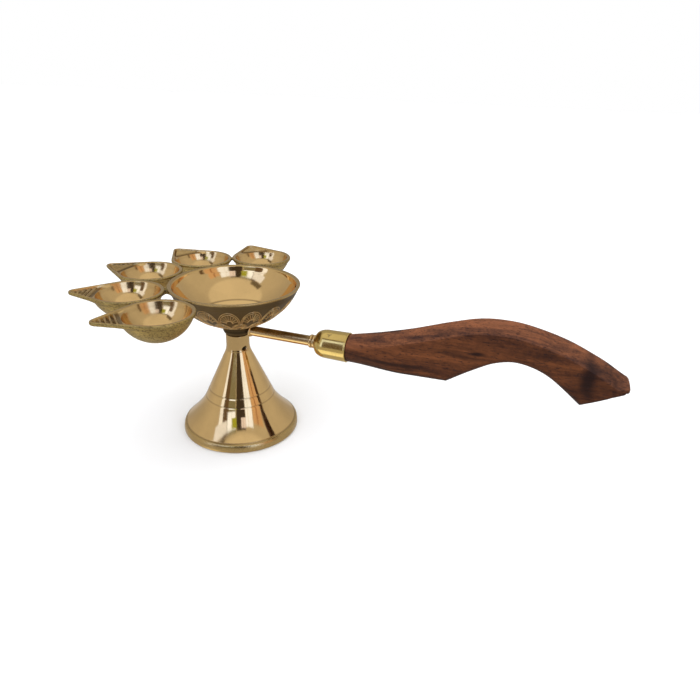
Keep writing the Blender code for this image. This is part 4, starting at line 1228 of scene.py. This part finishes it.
def make_ferrule():
    start, rim = FERRULE_LOW.x, FERRULE_HIGH.x
    neck = (COLLAR_HIGH.z - COLLAR_LOW.z) / 2 + 0.0003
    shoulder = FERRULE_RADIUS - 0.0003
    profile = [(ROD_RADIUS + 0.0003, start)]
    profile += eased([(ROD_RADIUS + 0.0003, start, 0.0), (neck, start, 0.0003),
                      (neck + 0.0004, start + 0.0001, 0.0)], 3)[1:]
    for i in range(1, 25):
        angle = math.pi / 2 * i / 24
        profile.append((neck + (shoulder - neck) * math.sin(angle) ** 0.92,
                        start + FERRULE_DOME * (1 - math.cos(angle) ** 1.05)))
    profile += eased([profile[-1] + (0.0,), (FERRULE_RADIUS - 0.0001, rim - 0.0007, 0.0004),
                      (FERRULE_RADIUS, rim - 0.0004, 0.0003),
                      (FERRULE_RADIUS - 0.0001, rim, 0.0002),
                      (FERRULE_RADIUS - 0.0007, rim, 0.0002),
                      (FERRULE_RADIUS - 0.0009, rim - 0.0006, 0.0)], 4)[1:]
    socket_end = start + FERRULE_DOME - 0.0012
    profile += [(FERRULE_RADIUS - 0.0011, start + FERRULE_DOME),
                (ROD_RADIUS + 0.0012, socket_end), (ROD_RADIUS + 0.0003, socket_end)]
    mesh = turned("ferrule", filled(profile, 0.0003), 176, along_rod, loop=True)
    spots = places(mesh)
    y, z = spots[:, 1], spots[:, 2] - ROD_Z
    radius = np.hypot(y, z)
    turn = np.arctan2(z, -y)
    u = spots[:, 0] - (start + 0.0078)
    v = (turn - math.radians(62.0)) * FERRULE_RADIUS
    dent = sum(stroke(u, v, math.radians(turn_by), 0.0011, 0.00022) for turn_by in MARK_STROKES)
    dent = np.clip(dent, 0.0, 1.0) * (radius > FERRULE_RADIUS - 0.0006)
    tack_u = spots[:, 0] - (TACK_LOW.x + TACK_HIGH.x) / 2
    tack_v = (turn + math.pi / 2) * FERRULE_RADIUS
    seat = np.exp(-((tack_u ** 2 + tack_v ** 2) / 0.0010 ** 2) ** 2) * (radius > 0.0066)
    sink = (0.00012 * dent + 0.00030 * seat) / np.maximum(radius, 1e-6)
    spots[:, 1] -= y * sink
    spots[:, 2] -= z * sink
    set_places(mesh, spots)
    inside = (radius < FERRULE_RADIUS - 0.0007) & (spots[:, 0] > start + 0.0030)
    edge = np.exp(-((spots[:, 0] - start) / 0.0006) ** 2)
    paint(mesh, "soil_and_shade", np.clip(0.9 * dent + 0.6 * seat + 0.6 * inside + 0.5 * edge, 0.0, 1.0))
    show("ferrule_cap", mesh, "ferrule", "ferrule_brass", "ferrule")


def make_tack():
    """A small nail through the ferrule into the wood, with a low domed head."""
    middle = (TACK_LOW.x + TACK_HIGH.x) / 2
    outside = ROD_Z - FERRULE_RADIUS
    profile = [(0.0, outside - 0.00005), (0.00035, outside), (0.00062, outside + 0.00012),
               (0.00070, outside + 0.00028), (0.00052, outside + 0.00040),
               (0.00050, TACK_HIGH.z - 0.0006), (0.0, TACK_HIGH.z)]
    mesh = turned("tack", profile, 28, lambda *place: upright(*place, middle=middle))
    show("tack", mesh, "tack", "tack_brass", "ferrule_tack")


# --- wooden handle ---------------------------------------------------------------------------

def blend(p0, p1, p2, p3, t):
    """A point on the smooth curve between p1 and p2."""
    return 0.5 * ((2 * p1) + (p2 - p0) * t + (2 * p0 - 5 * p1 + 4 * p2 - p3) * t * t
                  + (3 * p1 - p0 - 3 * p2 + p3) * t ** 3)


def outline(pairs, corners, steps):
    """A smooth line through pairs of share and height, sharp only at the corners."""
    spots = [Vector((HANDLE_START + share * HANDLE_LENGTH, ROD_Z + up)) for share, up in pairs]
    last = len(spots) - 1
    made = [spots[0]]
    for i in range(last):
        before = spots[i] if i == 0 or i in corners else spots[i - 1]
        after = spots[i + 1] if i + 1 == last or i + 1 in corners else spots[i + 2]
        for step in range(1, steps + 1):
            made.append(blend(before, spots[i], spots[i + 1], after, step / steps))
    return made


def carved_side(height, half_width):
    """Half a carved section: (across, drop) from the top's middle to the bottom's middle."""
    crown = min(0.0047, 0.46 * height)
    belly = min(0.0036, 0.36 * height)
    soft = min(0.0003, 0.1 * height)
    points = []
    for i in range(15):
        across = (half_width - soft) * i / 14
        points.append((across, crown * (across / half_width) ** 1.5))
    points.append((half_width - soft * 0.25, crown - soft * 0.15))
    points.append((half_width, crown + soft * 0.7))
    wall = height - belly - crown - soft
    for i in range(1, 10):
        t = i / 9
        bulge = 0.00010 * math.sin(math.pi * t)
        points.append((half_width + bulge, crown + soft + wall * t))
    for i in range(1, 13):
        angle = math.pi / 2 * i / 12
        points.append((half_width - belly * 1.1 * (1 - math.cos(angle)),
                       height - belly + belly * math.sin(angle)))
    flat = points[-1][0]
    for i in range(1, 6):
        points.append((flat * (1 - i / 5), height))
    return points


def round_side(height, half_width, count):
    """The same count of points, evenly turned round half an ellipse."""
    made = []
    for i in range(count):
        t = i / (count - 1)
        angle = math.pi / 2 - math.pi * t
        made.append((half_width * math.cos(angle), height / 2 * (1 - math.sin(angle))))
    return made


def handle_section(top, bottom, half_width, ease):
    """A closed ring across the handle, round where ease is 0 and carved where it is 1."""
    height = (top - bottom).length
    carved = carved_side(height, half_width)
    rounded = round_side(height, half_width, len(carved))
    side = [((1 - ease) * r[0] + ease * c[0], (1 - ease) * r[1] + ease * c[1])
            for r, c in zip(rounded, carved)]
    both = side + [(-across, drop) for across, drop in side[-2:0:-1]]
    down = (bottom - top) / height
    return np.array([(top.x + down.x * drop, across, top.y + down.y * drop)
                     for across, drop in both])


def make_handle():
    tops = outline(HANDLE_TOP, (), 16)
    bottoms = outline(HANDLE_BOTTOM, HANDLE_CORNERS, 16)
    rings = []
    spigot = FERRULE_RADIUS - 0.0014
    for back, radius in ((0.0090, spigot - 0.0004), (0.0086, spigot), (0.0004, spigot),
                         (0.00001, HANDLE_NECK_RADIUS - 0.0002)):
        spot = Vector((HANDLE_START - back, ROD_Z))
        up = Vector((0.0, radius))
        rings.append(handle_section(spot + up, spot - up, radius, 0.0))
    for i, (top, bottom) in enumerate(zip(tops, bottoms)):
        top.x = min(top.x, HANDLE_START + HANDLE_LENGTH - HANDLE_BUTT_ROUND)
        bottom.x = min(bottom.x, HANDLE_START + HANDLE_LENGTH - HANDLE_BUTT_ROUND)
        share = (min(top.x, bottom.x) - HANDLE_START) / HANDLE_LENGTH
        ease = smooth_share(min(1.0, max(0.0, share) / 0.24))
        width = HANDLE_NECK_RADIUS + (HANDLE_HALF_WIDTH - HANDLE_NECK_RADIUS) * ease
        nose = min(1.0, max(0.0, (share - 0.93) / 0.07))
        width *= 1.0 - 0.10 * nose ** 2
        if i == 0:
            lift = Vector((0.0003, 0.0))
            top, bottom = top + lift, bottom + lift
        rings.append(handle_section(top, bottom, width, ease))
    butt = rings[-1]
    middle = butt.mean(axis=0)
    for i in range(1, 8):
        angle = math.pi / 2 * i / 7
        inset = HANDLE_BUTT_ROUND * (1 - math.cos(angle))
        away = butt - middle
        reach = np.linalg.norm(away, axis=1, keepdims=True)
        ring = middle + away * (1 - inset / reach)
        ring[:, 0] += HANDLE_BUTT_ROUND * math.sin(angle)
        rings.append(ring)
    mesh = skin("handle", rings)
    spots = places(mesh)
    for i, spot in enumerate(spots):
        carve = noise.noise(Vector((spot[0] * 55, spot[1] * 140, spot[2] * 110))) * 0.00016
        strength = min(1.0, max(0.0, (spot[0] - HANDLE_START) / 0.010))
        spots[i, 1] += math.copysign(carve, spot[1]) * strength
    set_places(mesh, spots)
    show("handle", mesh, "wood", "handle_wood", "wooden_handle", angle=24.0)


# --- stage -----------------------------------------------------------------------------------

# The room, by degrees up from the lamp and round it from the front. Each patch has its left, right,
# low and high edges and its colour.
PATCH_EDGE = 1.2
CEILING_EDGE, CEILING_COLOUR = (51.0, 55.0), (0.74, 0.73, 0.70)
TABLE_EDGE, TABLE_COLOUR = (-6.0, -10.0), (0.52, 0.51, 0.49)
ROOM_PATCHES = (
    (-88, -52, -61, -30, (1.35, 1.35, 1.30)),
    (-68, -57, -8, 40, (1.15, 1.40, 2.20)),
    (-58, -41, -8, 52, (0.15, 0.11, 0.08)),
    (-42, -18, -8, 52, (0.26, 0.27, 0.22)),
    (-74, -44, 36, 49, (1.00, 1.20, 1.90)),
    (-44, -19, 22.5, 49, (1.25, 1.60, 2.70)),
    (-32, -30.5, 22.5, 49, (0.50, 0.50, 0.48)),
    (-17, 11, -8, 51, (0.06, 0.05, 0.045)),
    (-31, -16, 34, 48, (0.42, 0.52, 0.06)),
    (-3, 12, 35, 49, (0.95, 1.00, 1.50)),
    (2, 4, 35, 49, (0.40, 0.36, 0.36)),
    (11, 33, -8, 48, (1.15, 1.45, 2.40)),
    (18, 20, -8, 48, (0.80, 0.80, 0.80)),
    (33, 60, -8, 44, (0.72, 0.52, 0.38)),
    (44, 48, -8, 44, (0.38, 0.20, 0.12)),
    (61, 70, -8, 30, (0.12, 0.08, 0.05)),
    (-84, -48, 49, 58, (0.16, 0.14, 0.11)),
)


FLOOR_SIDE, FLOOR_GAP = 12.0, 0.0002
# Each light's name, place, size and power
LIGHTS = (("key_light", (-0.35, -0.75, 0.95), 0.7, 3.0),
          ("fill_light", (0.75, -0.35, 0.75), 0.8, 1.0),
          ("back_light", (0.0, 0.80, 0.90), 0.9, 1.5))
LIGHTS_AIM = (0.0, 0.0, 0.05)


def floor_finish():
    made, tree = new_material("floor_paper")
    place = node(tree, "ShaderNodeTexCoord").outputs["Object"]
    cloud = speckle(tree, place, 6.0, detail=2.0)
    colour = ramp(tree, cloud, ((0.0, (0.86, 0.86, 0.86)), (1.0, (0.90, 0.90, 0.895))))
    finish_shader(tree, {"Base Color": colour, "Roughness": 0.95, "Specular IOR Level": 0.1})
    return made


def make_floor():
    """A wide pale floor just under the foot, left out of reflections and bounced light."""
    mesh = bpy.data.meshes.new("floor")
    corners = [(x * FLOOR_SIDE, y * FLOOR_SIDE, 0.0)
               for x, y in ((-1, -1), (1, -1), (1, 1), (-1, 1))]
    mesh.from_pydata(corners, [], [(0, 1, 2, 3)])
    floor = bpy.data.objects.new("floor", mesh)
    floor.location.z = -FLOOR_GAP
    bpy.context.scene.collection.objects.link(floor)
    mesh.materials.append(floor_finish())
    floor.visible_glossy = False
    floor.visible_diffuse = False


def room_patch(tree, colour, around, height, patch):
    """Lay one soft-edged patch of the room over the colours behind it."""
    left, right, low, high, patch_colour = patch
    edges = [maths(tree, "SUBTRACT", around, left), maths(tree, "SUBTRACT", right, around),
             maths(tree, "SUBTRACT", height, low), maths(tree, "SUBTRACT", high, height)]
    inside = edges[0]
    for edge in edges[1:]:
        inside = maths(tree, "MINIMUM", inside, edge)
    return blended(tree, faded(tree, inside, 0.0, PATCH_EDGE), colour, patch_colour)


def make_room():
    """A room of walls, windows and gaps, placed by their angles round the lamp and up from it."""
    world = bpy.data.worlds.new("studio_room")
    bpy.context.scene.world = world
    world.use_nodes = True
    tree = world.node_tree
    tree.nodes.clear()
    way = node(tree, "ShaderNodeTexCoord").outputs["Generated"]
    front = math.atan2(CAMERA_PLACE[1], CAMERA_PLACE[0] - AXIS_X)
    seen_way = node(tree, "ShaderNodeVectorRotate", {"Vector": way, "Angle": -front},
                    rotation_type="Z_AXIS").outputs[0]
    parts = node(tree, "ShaderNodeSeparateXYZ", {0: seen_way}).outputs
    around = maths(tree, "DEGREES", maths(tree, "ARCTAN2", parts[1], parts[0]))
    height = maths(tree, "DEGREES", maths(tree, "ARCSINE", parts[2]))
    wall = ramp(tree, maths(tree, "MULTIPLY_ADD", parts[0], 0.5, 0.5),
                ((0.0, (0.40, 0.39, 0.37)), (0.45, (0.58, 0.57, 0.54)), (1.0, (0.56, 0.55, 0.52))))
    colour = blended(tree, faded(tree, height, *CEILING_EDGE), wall, CEILING_COLOUR)
    colour = blended(tree, faded(tree, height, *TABLE_EDGE), colour, TABLE_COLOUR)
    for patch in ROOM_PATCHES:
        colour = room_patch(tree, colour, around, height, patch)
    soft = ramp(tree, maths(tree, "MULTIPLY_ADD", parts[2], 0.5, 0.5),
                ((0.0, 0.13), (0.5, 0.32), (1.0, 1.75)))
    path = node(tree, "ShaderNodeLightPath").outputs
    colour = blended(tree, path["Is Diffuse Ray"], colour, soft)
    colour = blended(tree, path["Is Camera Ray"], colour, (1.0, 1.0, 1.0))
    shader = node(tree, "ShaderNodeBackground", {"Color": colour, "Strength": 1.0})
    node(tree, "ShaderNodeOutputWorld", {"Surface": shader.outputs[0]})


def make_lights():
    for name, spot, size, power in LIGHTS:
        lamp = bpy.data.lights.new(name, "AREA")
        lamp.size = size
        lamp.energy = power
        holder = bpy.data.objects.new(name, lamp)
        holder.location = spot
        aim = Vector(LIGHTS_AIM) - Vector(spot)
        holder.rotation_euler = aim.to_track_quat("-Z", "Y").to_euler()
        holder.visible_camera = False
        holder.visible_glossy = False
        bpy.context.scene.collection.objects.link(holder)


def make_camera():
    lens = bpy.data.cameras.new("camera")
    lens.lens = CAMERA_LENS
    lens.sensor_width = 36.0
    lens.clip_start = 0.01
    camera = bpy.data.objects.new("camera", lens)
    camera.location = CAMERA_PLACE
    camera.rotation_euler = [math.radians(a) for a in CAMERA_TURN]
    bpy.context.scene.collection.objects.link(camera)
    bpy.context.scene.camera = camera


# --- operators -------------------------------------------------------------------------------

class LAMP_OT_bowl(bpy.types.Operator):
    """Turn the centre bowl and wrap its chased petals"""
    bl_idname = "lamp.bowl"
    bl_label = "Centre Bowl"

    def execute(self, context):
        make_bowl(context.scene.lamp_sizes)
        return {"FINISHED"}


class LAMP_OT_cups(bpy.types.Operator):
    """Make the five leaf cups with ridged points and cast undersides"""
    bl_idname = "lamp.cups"
    bl_label = "Leaf Cups"

    def execute(self, context):
        for index in range(CUP_COUNT):
            make_cup(index, context.scene.lamp_sizes)
        return {"FINISHED"}


class LAMP_OT_webs(bpy.types.Operator):
    """Make the brazed lugs and bridges that join the cups"""
    bl_idname = "lamp.webs"
    bl_label = "Lugs and Bridges"

    def execute(self, context):
        make_lugs(context.scene.lamp_sizes)
        make_bridges(context.scene.lamp_sizes)
        return {"FINISHED"}


class LAMP_OT_boss(bpy.types.Operator):
    """Make the dark boss between the bowl and the foot"""
    bl_idname = "lamp.boss"
    bl_label = "Boss"

    def execute(self, context):
        make_boss(context.scene.lamp_sizes)
        return {"FINISHED"}


class LAMP_OT_foot(bpy.types.Operator):
    """Turn the bell foot with its incised lines, hollow and neck pit"""
    bl_idname = "lamp.foot"
    bl_label = "Bell Foot"

    def execute(self, context):
        make_foot()
        return {"FINISHED"}


class LAMP_OT_bolt(bpy.types.Operator):
    """Make the foot bolt with its thread, and its washer"""
    bl_idname = "lamp.bolt"
    bl_label = "Foot Bolt and Washer"

    def execute(self, context):
        make_washer()
        make_bolt(context.scene.lamp_sizes)
        return {"FINISHED"}


class LAMP_OT_rod(bpy.types.Operator):
    """Make the handle rod, its braze bead and its collar"""
    bl_idname = "lamp.rod"
    bl_label = "Rod and Collar"

    def execute(self, context):
        make_rod()
        make_collar()
        return {"FINISHED"}


class LAMP_OT_ferrule(bpy.types.Operator):
    """Turn the domed ferrule and set its tack"""
    bl_idname = "lamp.ferrule"
    bl_label = "Ferrule and Tack"

    def execute(self, context):
        make_ferrule()
        make_tack()
        return {"FINISHED"}


class LAMP_OT_handle(bpy.types.Operator):
    """Carve the wooden handle"""
    bl_idname = "lamp.handle"
    bl_label = "Wooden Handle"

    def execute(self, context):
        make_handle()
        return {"FINISHED"}


class LAMP_OT_stage(bpy.types.Operator):
    """Set the pale floor, the soft room light and the camera"""
    bl_idname = "lamp.stage"
    bl_label = "Stage"

    def execute(self, context):
        make_floor()
        make_room()
        make_lights()
        make_camera()
        context.scene.view_settings.view_transform = "Standard"
        return {"FINISHED"}


OPERATORS = (LAMP_OT_bowl, LAMP_OT_cups, LAMP_OT_webs, LAMP_OT_boss, LAMP_OT_foot, LAMP_OT_bolt,
             LAMP_OT_rod, LAMP_OT_ferrule, LAMP_OT_handle, LAMP_OT_stage)


class LAMP_PT_pieces(bpy.types.Panel):
    """Lists the lamp's pieces and the settings they read."""
    bl_idname = "LAMP_PT_pieces"
    bl_label = "Brass Hand Lamp"
    bl_space_type = "VIEW_3D"
    bl_region_type = "UI"
    bl_category = "Hand Lamp"

    def draw(self, context):
        column = self.layout.column()
        for operator in OPERATORS:
            column.operator(operator.bl_idname)
        for group in (context.scene.lamp_sizes, context.scene.lamp_finishes):
            box = self.layout.box()
            for key in group.__annotations__:
                box.prop(group, key)


CLASSES = (LampSizes, LampFinishes) + OPERATORS + (LAMP_PT_pieces,)


def register():
    for made in CLASSES:
        bpy.utils.register_class(made)
    bpy.types.Scene.lamp_sizes = PointerProperty(type=LampSizes)
    bpy.types.Scene.lamp_finishes = PointerProperty(type=LampFinishes)


def unregister():
    del bpy.types.Scene.lamp_finishes
    del bpy.types.Scene.lamp_sizes
    for made in reversed(CLASSES):
        bpy.utils.unregister_class(made)


def main():
    register()
    bpy.ops.lamp.bowl()
    bpy.ops.lamp.cups()
    bpy.ops.lamp.webs()
    bpy.ops.lamp.boss()
    bpy.ops.lamp.foot()
    bpy.ops.lamp.bolt()
    bpy.ops.lamp.rod()
    bpy.ops.lamp.ferrule()
    bpy.ops.lamp.handle()
    bpy.ops.lamp.stage()


if __name__ == "__main__":
    main()
